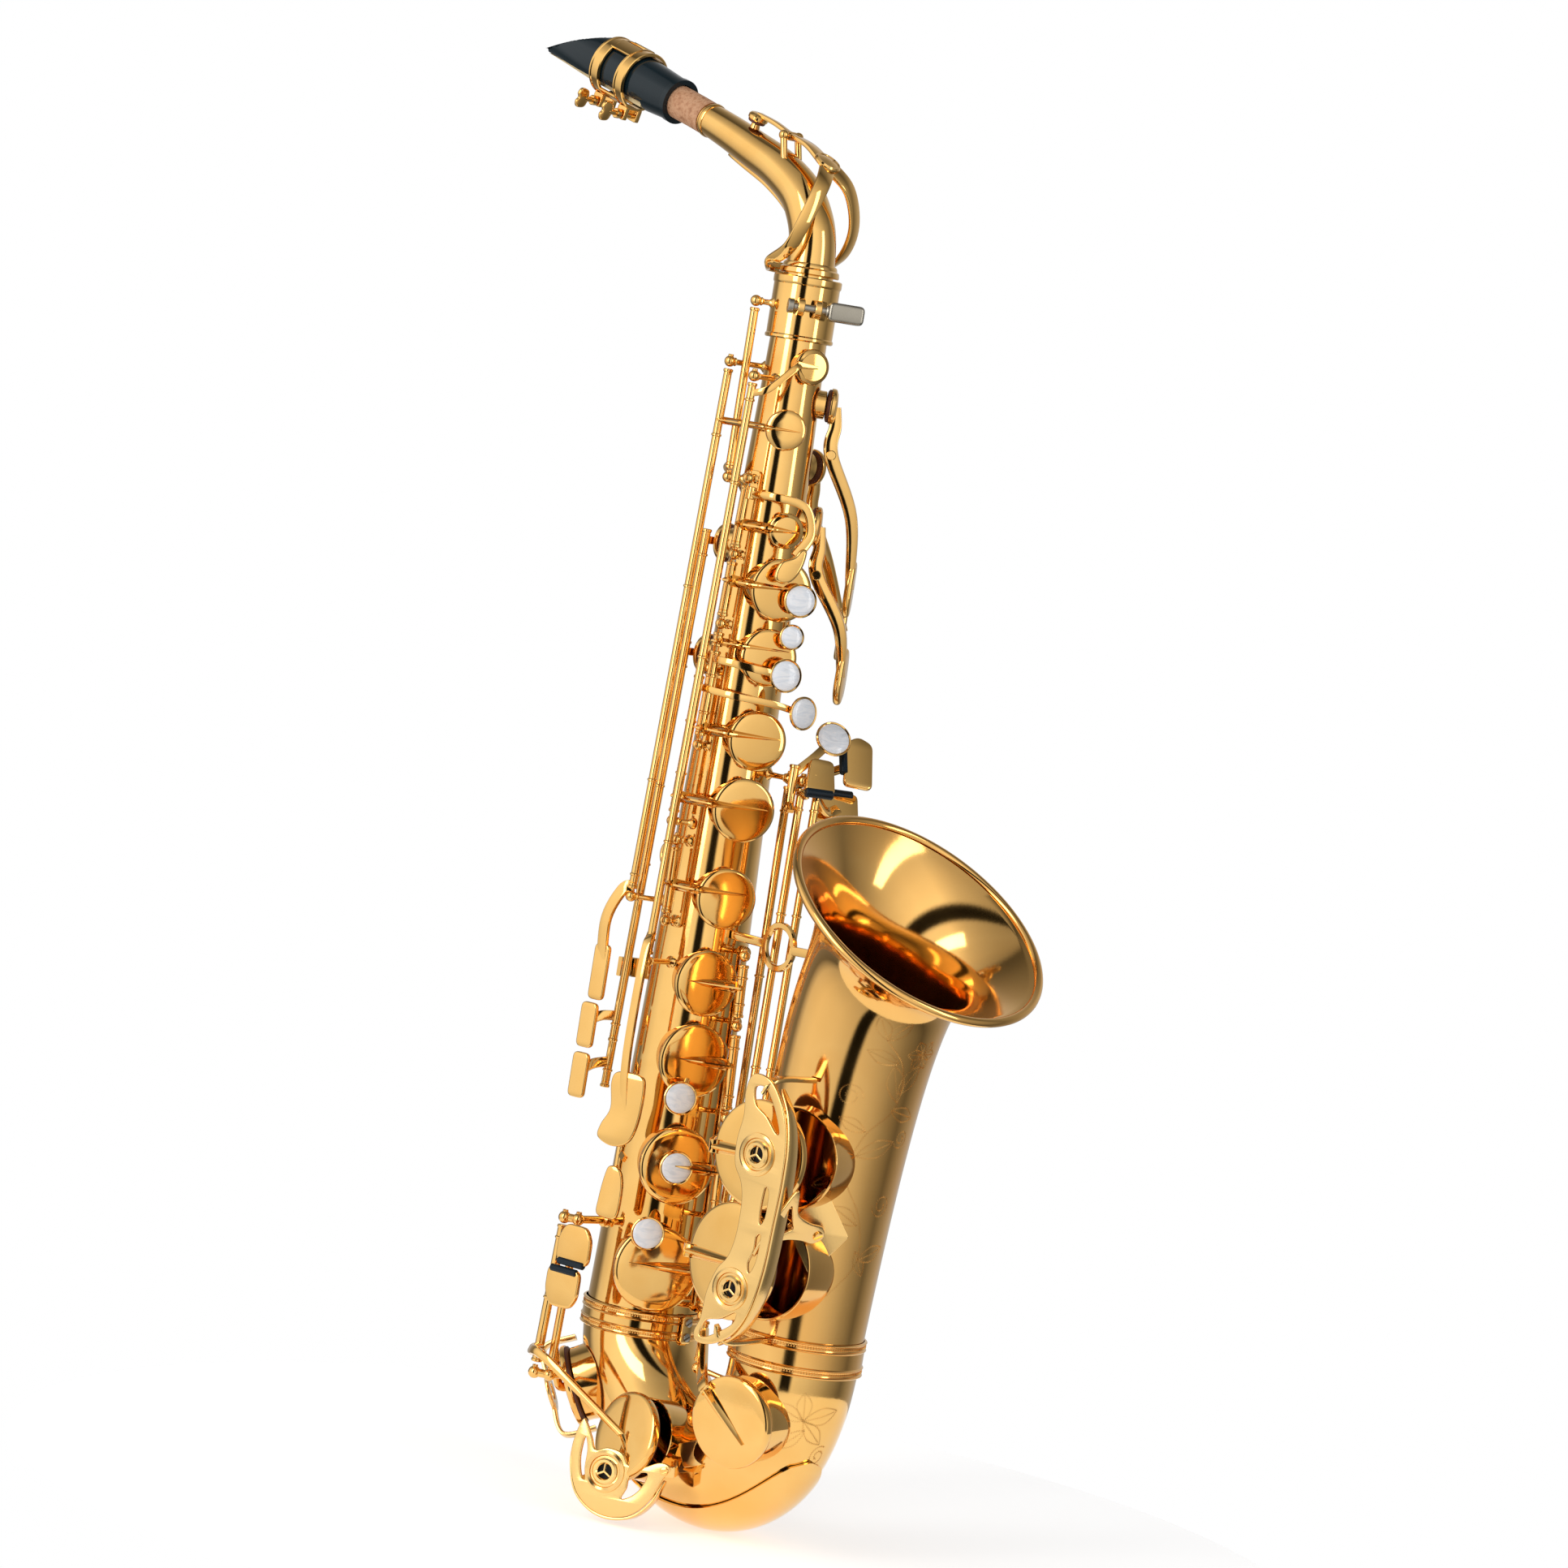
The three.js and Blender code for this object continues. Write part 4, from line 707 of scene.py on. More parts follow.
def hinge_tube(line, low, high, radius):
    """A key's tube with a bead at each end and a fine seam near one of them."""
    start, end = line.at(low), line.at(high)
    direction = (end - start).normalized()
    length = (end - start).length
    bead = radius + 0.35
    profile = [(0, 0), (radius, 0), (bead, 0.3), (bead, 1.2), (radius, 1.6), (radius, 2.6),
               (radius - 0.2, 2.8), (radius, 3.0), (radius, length - 1.6), (bead, length - 1.2),
               (bead, length - 0.3), (radius, length), (0, length)]
    if length < 6:
        profile = [(0, 0), (radius, 0), (radius, length), (0, length)]
    return revolve(profile, start, direction, 20)


def cup(place, thickness):
    """A key cup: a shallow dish, slightly domed on top, with a rolled edge."""
    r, h = place.cup, thickness
    profile = [(0, 1.9), (r - 0.7, 1.9), (r - 0.1, 2.0), (r, 2.3), (r, h - 1.5), (r - 0.25, h - 0.8),
               (r - 0.9, h - 0.3), (r - 1.8, h - 0.06), (r * 0.75, h + 0.16), (r * 0.5, h + 0.36),
               (r * 0.25, h + 0.5), (0, h + 0.55)]
    return revolve(profile, place.seat + place.facing * (GAP - 0.2), place.facing, 64)


def pad(place):
    r = place.cup - 0.5
    profile = [(0, 0.1), (r - 2.2, 0.1), (r - 1, 0.35), (r - 0.2, 0.9), (r - 0.1, 1.9), (r - 0.8, 2.4),
               (0, 2.4)]
    return revolve(profile, place.seat + place.facing * (GAP - 0.1), place.facing, 56)


def chimney(place):
    """A drawn tone hole's wall with a rounded rim."""
    depth = (place.seat - place.root).length
    inner, outer = place.radius - CHIMNEY["wall"], place.radius
    profile = [(inner, 0), (outer, 0), (outer + 0.9, depth * 0.4), (outer, depth - 2.5),
               (outer, depth - 0.4), (outer - 0.25, depth - 0.06), (inner + 0.25, depth - 0.06),
               (inner, depth - 0.4)]
    return revolve(profile, place.root, place.facing, 64, closed=True)


def arm_over(line, place, z, width=ARM["width"], height=ARM["height"]):
    """A key arm that comes over the cup's edge and runs out past its middle."""
    start = line.at(z)
    top = place.top(CUP["body"]) + place.facing * 0.6
    top.z = z
    side = start - top
    side -= place.facing * side.dot(place.facing)
    side.z = 0
    side.normalize()
    knee = top + side * (place.cup + 1.0) + place.facing * 0.3
    inner = top + side * (place.cup - 2.5)
    tip = top - side * (ARM["reach"] * place.cup)
    return spine([start, start.lerp(knee, 0.6), knee, inner, tip], width, height, place.facing, 0.12)


def arm_direct(line, place, z, width=ARM["width"]):
    """A key arm that runs straight from its tube out past the cup's middle."""
    start = line.at(z)
    top = place.top(CUP["body"]) + place.facing * 0.45
    top.z = z
    tip = top + (top - start).normalized() * (ARM["reach"] * place.cup)
    path = [start, start.lerp(top, 0.5), top + place.facing * 0.6, tip]
    return spine(path, width, ARM["height"], place.facing, 0.12)


def pearl_holder(center, facing, size=1.0):
    r = 7.7 * size
    profile = [(0, 0), (r * 0.5, 0), (r * 0.86, 0.5), (r, 1.3), (r, 2.2), (r - 0.35, 2.45), (r - 0.8, 2.2),
               (r - 0.8, 1.2), (0, 1.2)]
    return revolve(profile, center, facing, 44)


def pearl(center, facing, size=1.0):
    r = 6.75 * size
    profile = [(0, 0), (r, 0), (r, 0.75), (r * 0.93, 1.1), (r * 0.7, 1.45), (r * 0.4, 1.66), (0, 1.75)]
    return revolve(profile, center + facing * (1.1 + GAP), facing, 44)


def stalk(button, facing, start):
    return rod(start, button + facing * 0.4, 1.5, 14)


def facing_audience(deg):
    return (around(deg) + vec(0, 0, 0.04)).normalized()


def touch(center, facing, outline, thickness=2.2, bevel=0.8):
    """A finger plate: an outline with soft edges."""
    across = UP.cross(facing).normalized()
    upward = facing.cross(across).normalized()
    return plate(outline, thickness, center, across, upward, bevel=bevel)


# ---- tubes: body, bow and bell ----
def smooth_outline(corners, steps=6):
    """A closed outline that runs smoothly through its points."""
    count = len(corners)
    outline = []
    for i in range(count):
        a, b, c, d = (Vector(corners[(i + k) % count]) for k in (-1, 0, 1, 2))
        for k in range(steps):
            point = smooth_between(a, b, c, d, k / steps)
            outline.append((point.x, point.y))
    return outline


TUBE_SIDES = 96


def bent_ring(curve, radius, t, sides=TUBE_SIDES):
    center, ahead = curve.at(t), curve.ahead(t)
    out = SIDE.cross(ahead).normalized()
    return [center + out * (math.cos(a) * radius) + SIDE * (math.sin(a) * radius)
            for a in circle_angles(sides)]


def bent_shell(curve, outer_at, inner_at, shares):
    outer = [bent_ring(curve, outer_at(t), t) for t in shares]
    inner = [bent_ring(curve, inner_at(t), t) for t in shares[::-1]]
    return loft([*outer, *inner], closed=True)


def carve(piece, cutters):
    """Cuts shapes out of a piece."""
    mesh = bpy.data.meshes.new("cutter")
    whole = Shape().join(*cutters)
    mesh.from_pydata([metres(point) for point in whole.points], [], whole.faces)
    cutter = add_object("cutter", mesh)
    modifier = piece.modifiers.new("bores", "BOOLEAN")
    modifier.object = cutter
    modifier.operation = "DIFFERENCE"
    modifier.solver = "EXACT"
    modifier.use_self = True
    graph = bpy.context.evaluated_depsgraph_get()
    cut = bpy.data.meshes.new_from_object(piece.evaluated_get(graph))
    piece.modifiers.clear()
    piece.data = cut
    bpy.data.objects.remove(cutter)


def bores(names):
    made = []
    for name in names:
        place = HOLES[name]
        radius = place.radius - CHIMNEY["wall"] + 0.1
        length = (place.seat - place.root).length - 1
        profile = [(0, 0), (radius, 0), (radius, length), (0, length)]
        made.append(revolve(profile, place.root, place.facing, 48))
    return made


def chimneys(names):
    return Shape().join(*[chimney(HOLES[name]) for name in names])


def body_tube():
    heights = [BODY["bottom"] + (BODY["top"] - BODY["bottom"]) * i / 64 for i in range(65)]
    outer = [(body_radius(z), z) for z in heights]
    inner = [(body_radius(z) - WALL, z) for z in heights[::-1]]
    wall = revolve(outer + inner, vec(0, 0, 0), UP, TUBE_SIDES, closed=True)
    tube = put("body_tube_wall", wall, "body", "brass", "body_tube")
    carve(tube, bores(BODY_HOLES))
    put("body_tone_holes", chimneys(BODY_HOLES), "body", "brass", "body_tube")


def bow():
    shares = [i / 48 for i in range(49)]
    shell = bent_shell(bow_curve, bow_radius, lambda t: bow_radius(t) - WALL, shares)
    piece = put("bow_wall", shell, "body", "brass", "body_bow")
    carve(piece, bores(BOW_HOLES))
    put("bow_tone_holes", chimneys(BOW_HOLES), "body", "brass", "body_bow")


def bell():
    shares = [i / 40 * 0.75 for i in range(40)] + [0.75 + 0.25 * i / 28 for i in range(29)]
    shell = bent_shell(bell_curve, bell_radius, lambda t: bell_radius(t) - WALL, shares)
    piece = put("bell_wall", shell, "body", "bell", "bell")
    carve(piece, bores(BELL_HOLES))
    put("bell_tone_holes", chimneys(BELL_HOLES), "body", "bell", "bell")
    bead = RIM["bead"]
    profile = [(RIM["radius"] + 0.2 + math.cos(a) * bead, math.sin(a) * bead)
               for a in circle_angles(16)]
    put("bell_rim_bead", revolve(profile, rim_center, rim_lean, 128, closed=True), "body", "bell", "bell")


body_tube()
bow()
bell()


# One raised band of a ferrule: share of its width, rise.
FERRULE_BAND = [
    (0, 0.1), (0.06, 0.55), (0.13, 0.75), (0.2, 0.55), (0.26, 0.1), (0.4, 0), (0.46, 0.3),
    (0.54, 0.3), (0.6, 0), (0.74, 0.1), (0.8, 0.55), (0.87, 0.75), (0.94, 0.55), (1, 0.1)]


def ferrule(center, direction, radius, low, high):
    """A connecting ring: two raised bands, each edged with a bead and a line of fine knurling."""
    inside, outside = radius + GAP, radius + 0.8
    profile = [(inside, low)]
    for start, end in ((low, low + 4.6), (high - 4.6, high)):
        for share, rise in FERRULE_BAND:
            profile.append((outside + rise, start + (end - start) * share))
    profile.append((inside, high))
    shape = revolve(profile, center, direction, 120, closed=True)
    across, over = basis(direction)
    along = direction.normalized()
    for middle in (low + 2.3, high - 2.3):
        for a in circle_angles(150):
            out = across * math.cos(a) + over * math.sin(a)
            place = center + out * (outside + 0.25) + along * middle
            shape.join(bar(place - along * 0.5, place + along * 0.5, 0.45, 0.5, out))
    return shape


def kite(center, facing, lengthways, width, height, thickness=0.8):
    """A soldered foot plate in the shape of a kite."""
    across = lengthways.cross(facing).normalized()
    upward = facing.cross(across).normalized()
    w, h = width / 2, height / 2
    outline = rounded([(-w, 0), (0, -h), (w, 0), (0, h)], 1.2)
    return plate(outline, thickness, center, across, upward, bevel=0.3)


CLAMP_AZIMUTH = 5
body_band = ferrule(vec(0, 0, BODY["bottom"]), UP, body_radius(BODY["bottom"]) + 0.3, -5, 7.4)
clamp_at, clamp_out = on_body(BODY["bottom"] + 1, CLAMP_AZIMUTH, 2.6), around(CLAMP_AZIMUTH)
body_band.join(plate(rounded_box(6, 13, 1.4), 1.6, clamp_at, tangent(CLAMP_AZIMUTH), UP))
put("bow_ferrule", body_band, "body", "brass", "body_bow_ferrule")
clamp_screws = Shape()
for drop in (-3.4, 3.4):
    clamp_screws.join(screw_head(clamp_at + clamp_out * 0.7 + UP * drop, clamp_out, 2.0, 30))
put("bow_ferrule_screws", clamp_screws, "body", "nickel")
put("bell_ferrule", ferrule(bell_start, low_lean, BELL["radius"] + 0.3, -9, 7), "body", "bell",
    "bell_bow_ferrule")


# ---- posts and ribs ----
def rib(theta, low, high, width):
    lift = GAP + 0.6
    outline = rounded_box(width, high - low, 2.4)
    middle = (low + high) / 2
    tilt = (on_body(high, theta, lift) - on_body(low, theta, lift)).normalized()
    return plate(outline, 1.4, on_body(middle, theta, lift), tangent(theta), tilt, bevel=0.4)


def posts_on(theta, line, heights):
    made = Shape()
    for z in heights:
        head = line.at(z)
        made.join(post(on_body(z, theta, GAP + 1.2), head))
        made.join(screw_head(head + line.direction * 2.3, line.direction, 1.25, 10))
    return made


def needle_spring(line, z, length, out):
    """A blued needle spring from a post, leaning on the key beside it."""
    spread = 3.0
    start = line.at(z) - out * spread * 0.6
    end = line.at(z + length) - out * spread
    return rod(start, end, 0.32, 8, 0.16)


def stack_posts():
    upper = rib(-77, 176, 387, 6)
    upper.join(posts_on(-77, LINES["upper"], (383, 348, 316, 260)))
    upper.join(posts_on(-77, LINES["g"], (295, 224)), posts_on(-77, LINES["g_sharp"], (216, 179)))
    put("upper_rib", upper, "body", "brass", "upper_stack_rib")
    lower = rib(21, 3.5, 172, 5).join(posts_on(21, LINES["lower"], (169, 137, 95, 47, 5)))
    put("lower_rib", lower, "body", "brass", "lower_stack_rib")
    springs = Shape()
    for name, theta, places in (("upper", -77, ((383, -20), (348, -18), (260, 22))),
                                ("g", -77, ((295, -20), (224, 18))),
                                ("lower", 21, ((169, -18), (137, -20), (95, -22), (47, -20)))):
        for z, length in places:
            springs.join(needle_spring(LINES[name], z, length, around(theta)))
    put("stack_springs", springs, "body", "steel")


def lone_posts():
    made = Shape()
    for name, theta, z in (("high_e", -140, 434), ("high_e", -119, 186), ("octave", -115, 382),
                           ("high_f_sharp", -74, 429), ("high_f_sharp", -76, 160),
                           ("table_c_sharp", 42, 8)):
        made.join(post(on_body(z, theta, -0.3), LINES[name].at(z)))
        made.join(screw_head(LINES[name].at(z) + LINES[name].direction * 2.3, LINES[name].direction, 1.25))
    heads = [LINES[name].at(TABLE["posts"]) for name in ("table_c_sharp", "table_b", "table_b_flat")]
    made.join(post(on_body(TABLE["posts"], 30, -0.3), heads[0]), bar(heads[0], heads[1], 3.2, 3.2, UP),
              bar(heads[1], heads[2], 3.2, 3.2, UP))
    for head in heads:
        made.join(ball(head, 2.8, UP), screw_head(head + UP * 2.5, UP, 1.3))
    put("body_posts", made, "body", "brass", "body_tube")
    bell_posts = Shape()
    for foot, name, z in ((vec(82.5, -4, 28), "table_b_flat", 20), (vec(83, -9.5, 54), "table_b", 54),
                          (vec(85.5, -13, 24), "low_c_sharp", 9.6)):
        bell_posts.join(post(foot, LINES[name].at(z)))
    put("bell_posts", bell_posts, "body", "brass", "bell")
    put("bow_post", post(vec(83.5, -9, -18), LINES["low_c_sharp"].at(-15.2)), "body", "brass", "body_bow")


stack_posts()
lone_posts()


# ---- keys ----
def square_to(facing, way):
    """The part of a direction that is square to another one."""
    return (way - facing * way.dot(facing)).normalized()


def open_by(name, line, lift):
    """The angle that lifts a cup's middle off its hole by the given height."""
    hinge, place = LINES[line], HOLES[name]
    arm = place.seat - hinge.at(place.seat.z)
    return lift / hinge.direction.cross(arm).dot(place.facing)


def key(name, line, metal, places=(), thickness=CUP["body"], angle=0.0, extras=()):
    """One key: its metal, its pads, and the small pieces that ride on it, all turned open by the angle.

    extras are (piece name, shape, look, replaced node or None).
    """
    hinge = LINES[line]
    for place in places:
        metal.join(cup(place, thickness))
    put(name + "_metal", metal.turned(hinge, angle), name, "brass", name)
    if places:
        pads = Shape().join(*[pad(place) for place in places])
        put(name + "_pad", pads.turned(hinge, angle), name, "leather")
    for piece, shape, look, node in extras:
        put(piece, shape.turned(hinge, angle), name, look, node or ())


def pearl_extra(name, center, facing, size=1.0):
    return (name + "_shell", pearl(center, facing, size), "pearl", name)


def collars(line, heights, radius):
    """Narrow beads round a hinge tube."""
    made = Shape()
    for z in heights:
        profile = [(0, -0.7), (radius, -0.7), (radius + 0.45, -0.35), (radius + 0.45, 0.35), (radius, 0.7),
                   (0, 0.7)]
        made.join(revolve(profile, line.at(z), line.direction, 20))
    return made


def small_c_and_b_keys():
    line, radius = LINES["upper"], TUBE["stack"]
    place = HOLES["small_c"]
    metal = hinge_tube(line, 351, 379.5, radius).join(arm_over(line, place, 362))
    key("small_c_key", "upper", metal, [place], angle=open_by("small_c", "upper", LIFT["small"]))

    place, facing = HOLES["b"], facing_audience(-14)
    top = place.top(CUP["body"])
    button = top + vec(3.2, 7, -3.2) + place.facing * 2.4
    metal = hinge_tube(line, 319.5, 344.5, radius).join(
        arm_over(line, place, 336), stalk(button, facing, top + vec(-1, 5, -2)),
        pearl_holder(button, facing))
    key("b_key", "upper", metal, [place], angle=open_by("b", "upper", LIFT["stack"]),
        extras=[pearl_extra("b_pearl", button, facing)])


def bis_and_a_keys():
    line, radius = LINES["upper"], TUBE["stack"]
    place, facing = HOLES["bis"], facing_audience(-14)
    top = place.top(CUP["body"])
    button = top + vec(1.6, 7.2, 11) + place.facing * 3.8
    metal = hinge_tube(line, 305.5, 312, radius).join(
        arm_over(line, place, 308, 3.8), stalk(button, facing, top + vec(-1, 4, 7)),
        pearl_holder(button, facing, 0.76))
    key("bis_key", "upper", metal, [place], angle=open_by("bis", "upper", LIFT["stack"]),
        extras=[pearl_extra("bis_pearl", button, facing, 0.74)])

    place, facing = HOLES["a"], facing_audience(-10)
    button = vec(33.2, -3.4, 297.5)
    path = [line.at(300), vec(20, -28.6, 300), vec(32, -16, 298.5), button - facing * 0.3]
    metal = hinge_tube(line, 264.5, 303.5, radius).join(
        arm_over(line, place, 268), collars(line, (275, 292), radius),
        strap(path, 3.4, 2, vec(1, -0.6, 0)), pearl_holder(button, facing))
    key("a_key", "upper", metal, [place], angle=open_by("a", "upper", LIFT["stack"]),
        extras=[pearl_extra("a_pearl", button, facing)])


def g_and_g_sharp_keys():
    line, radius = LINES["g"], TUBE["stack"]
    place, facing = HOLES["g"], facing_audience(6)
    button = vec(32.4, 9.4, 281.6)
    path = [line.at(287), vec(6, -29.3, 286.5), vec(11, -28.2, 286), vec(24, -22, 285),
            vec(31, -6, 284), button - facing * 0.3]
    metal = hinge_tube(line, 228, 291.2, radius).join(
        arm_over(line, place, 235.5), strap(path, 3.2, 2, vec(1, -0.6, 0)),
        pearl_holder(button, facing), collars(line, (246, 270), radius))
    key("g_key", "g", metal, [place], angle=open_by("g", "g", LIFT["stack"]),
        extras=[pearl_extra("g_pearl", button, facing)])

    line, place = LINES["g_sharp"], HOLES["g_sharp"]
    metal = hinge_tube(line, 182.6, 212.6, radius).join(arm_over(line, place, 196))
    key("g_sharp_key", "g_sharp", metal, [place])


def right_hand_stack():
    line = LINES["lower"]
    for name, low, high, arm, button, start in (
            ("f_sharp", 141, 165, 154.5, None, None),
            ("f", 99, 133, 119, on_body(101.5, -40, 11.5), on_body(110, -34, 7.2)),
            ("e", 51, 91, 70.5, on_body(69.5, -33, 8.6), on_body(69.5, -33, 6.5)),
            ("d", 9, 43, 24, on_body(38.5, -47, 11.4), on_body(33, -42, 7.4))):
        place = HOLES[name]
        metal = hinge_tube(line, low, high, TUBE["stack"]).join(arm_direct(line, place, arm))
        metal.join(collars(line, (low + 6, high - 6), TUBE["stack"]))
        extras = []
        if button:
            facing = facing_audience(-38)
            metal.join(pearl_holder(button, facing), stalk(button, facing, start))
            extras.append(pearl_extra(name + "_pearl", button, facing))
        key(name + "_key", "lower", metal, [place], angle=open_by(name, "lower", LIFT["stack"]),
            extras=extras)


small_c_and_b_keys()
bis_and_a_keys()
g_and_g_sharp_keys()
right_hand_stack()


# ---- side keys, right hand ----
def high_e_key():
    line = LINES["high_e"]
    spot = vec(-26, -36, 149)
    place = HOLES["high_e"]
    metal = hinge_tube(line, 189.5, 430.5, TUBE["side"]).join(
        arm_over(line, place, 407, 3.4, 2.4), collars(line, (196, 240, 330, 400), TUBE["side"]),
        strap([line.at(191), vec(-21, -34.5, 188), vec(-26, -37, 174), spot + UP * 6], 5.4, 2.2,
              around(-80)),
        touch(spot, around(-75), rounded_box(8.5, 26, 2.8), 2.4))
    key("high_e_key", "high_e", metal, [place])


def high_f_sharp_key():
    line = LINES["high_f_sharp"]
    place = HOLES["high_f_sharp"]
    top = place.top(CUP["body"])
    spot = vec(14.5, -42.5, 92)
    outline = smooth_outline([(-10.5, -14), (-3, -17), (5, -14), (8.5, -4), (9, 12), (6, 17), (-5, 17),
                              (-8, 12), (-6.5, 0), (-10, -8)])
    metal = hinge_tube(line, 163.2, 425.8, TUBE["side"]).join(
        collars(line, (170, 215, 300, 380, 418), TUBE["side"]),
        strap([line.at(421), vec(15.5, -26, 424), vec(19, -16.5, 434), top + vec(-1.6, -7, 0)], 3.2, 2,
              around(-40)),
        bar(top + vec(-2, -8, 0), top + vec(0.5, 2, 0), 3.4, 2, place.facing, 1.6),
        strap([line.at(173), vec(12.5, -43, 163), vec(12.5, -44, 118), spot], 4, 2.2, around(-70)),
        touch(spot, around(-65), outline, 2.4))
    key("high_f_sharp_key", "high_f_sharp", metal, [place])


def side_c_and_b_flat_keys():
    for name, low, high, spot in (("side_c", 118, 357, vec(-27.5, -37, 124)),
                                  ("side_b_flat", 96, 305, vec(-28.5, -36.5, 100.5))):
        line = LINES[name]
        metal = hinge_tube(line, low, high, TUBE["side"]).join(
            arm_direct(line, HOLES[name], high - 5, 3.6),
            collars(line, (low + 8, (low + high) / 2, high - 12), TUBE["side"]),
            strap([line.at(low + 12), line.at(low + 10).lerp(spot + UP * 6, 0.55), spot + UP * 2], 4.6, 2.2,
                  around(-75)),
            touch(spot, around(-75), rounded_box(9, 21, 2.8), 2.4))
        key(name + "_key", name, metal, [HOLES[name]])


def trill_key():
    line = LINES["trill"]
    spot = vec(13.5, -41.5, 54)
    outline = smooth_outline([(-5, -11), (3, -12), (5.5, -8), (5.5, 4), (3, 11), (-2, 12), (-4, 8),
                              (-5.5, -4)])
    metal = hinge_tube(line, 44, 76, TUBE["side"]).join(
        strap([line.at(54), vec(11.5, -41, 54), spot], 5, 2, around(-70)),
        touch(spot, around(-65), outline, 2.4), bar(line.at(72), vec(16, -38.5, 70), 3, 2, around(-60)))
    key("f_sharp_trill_key", "trill", metal)


high_e_key()
high_f_sharp_key()
side_c_and_b_flat_keys()
trill_key()


# ---- palm keys and front F ----
def palm_keys():
    for name, theta, z, height, path, spot, facing in (
            ("palm_f", 50, 399, 8.5, vec(20, 31, 372), vec(18, 38.5, 340), around(44)),
            ("palm_e_flat", 90, 371, 8.5, vec(4, 34, 350), vec(7, 47.4, 319.5), around(50)),
            ("palm_d", 46, 344, 9, vec(25, 30, 322), vec(22.5, 38, 300), around(38))):
        place = HOLES[name]
        pivot = on_body(z, theta, height)
        top = place.top(CUP["body"])
        edge = top + place.facing * 1.2
        edge.z = top.z - place.cup - 1
        axle = tangent(theta)
        outline = smooth_outline([(-5.6, -9), (0, -13.6), (5.6, -9), (6.6, 0), (4.6, 10), (0, 13),
                                  (-4.6, 10), (-6.6, 0)])
        metal = rod(pivot - axle * 3.6, pivot + axle * 3.6, 2.3, 20).join(
            cup(place, CUP["body"]), touch(spot, facing, outline, 3.6, bevel=1.6),
            sweep(through([top + place.facing * 0.5, edge, pivot, path, spot]),
                  lambda t: flat_section(4 + 2 * t, 4 + 2.6 * math.sin(math.pi * t), 1.3), place.facing))
        put(name + "_metal", metal, name + "_key", "brass", name + "_key")
        put(name + "_pad", pad(place), name + "_key", "leather")


def front_f_lever():
    line = LINES["front_f"]
    spot = vec(33.5, -11.8, 346.5)
    path = [line.at(376), vec(24, -20, 376.5), vec(32.5, -8, 374), vec(34.5, -4, 362), spot]
    spoon = smooth_outline([(-6.8, -5.4), (-3.4, -8), (1.6, -6.4), (5.4, 0), (6.6, 8), (3.6, 8.4),
                            (0.4, 4.4), (-5, 1.4)])
    metal = rod(line.at(373.6), line.at(379.4), TUBE["side"]).join(
        sweep(through(path[:-1] + [spot + vec(0, 2, 5)]), lambda t: flat_section(3.2 + 2 * t, 2.4, 1),
              vec(1, -0.5, 0)),
        touch(spot, facing_audience(-26), spoon, 3, bevel=1.4))
    key("front_f_lever", "front_f", metal)


palm_keys()
front_f_lever()

# ---- left little finger table ----
PINKY = vec(0.72, 0.1, 0.68).normalized()
PLATE = vec(0.80, -0.32, 0.5).normalized()
TABLE_ACROSS = UP.cross(PLATE).normalized()


def roller(center, along, length, radius=1.7):
    """A black roller."""
    profile = [(0, -length / 2), (radius - 0.4, -length / 2), (radius, -length / 2 + 0.4),
               (radius, length / 2 - 0.4), (radius - 0.4, length / 2), (0, length / 2)]
    return revolve(profile, center, along, 24)


def g_sharp_lever():
    line = LINES["g_sharp_table"]
    button = vec(30.5, 32, 270.5)
    link_end = vec(38.5, 7, 237)
    metal = hinge_tube(line, 238, 258, TUBE["stack"]).join(
        strap([line.at(254), vec(33.5, 20, 262), button - PINKY * 0.6], 4, 2.2, PINKY),
        pearl_holder(button, PLATE, 1.1),
        strap([line.at(241), line.at(241).lerp(link_end, 0.5), link_end], 3, 2, UP))
    key("g_sharp_lever", "g_sharp_table", metal)
    put("g_sharp_pearl_shell", pearl(button, PLATE, 1.1), "g_sharp_lever", "pearl", "g_sharp_pearl")


def low_c_sharp_lever():
    line = LINES["table_c_sharp"]
    spot = vec(35.6, 44.4, 261.6)
    metal = hinge_tube(line, 12, TABLE["tube_top"], TUBE["side"]).join(
        strap([line.at(TABLE["arm"]), vec(25, 27, 251), spot], 4, 2.2, PINKY),
        touch(spot, PLATE, rounded([(-7, -12), (7, -13), (8, 10), (1, 13.5), (-5, 10)], 3), 2.6),
        bar(line.at(16), vec(42, 3, 15), 4, 2, vec(0.6, 0.8, 0)),
        collars(line, (20, 80, 160, 236), TUBE["side"]))
    edge = spot - TABLE_ACROSS * 6.4
    key("low_c_sharp_lever", "table_c_sharp", metal, extras=[
        ("low_c_sharp_roller", roller(edge, PLATE.cross(TABLE_ACROSS), 12, 2.0), "roller", None)])


g_sharp_lever()
low_c_sharp_lever()


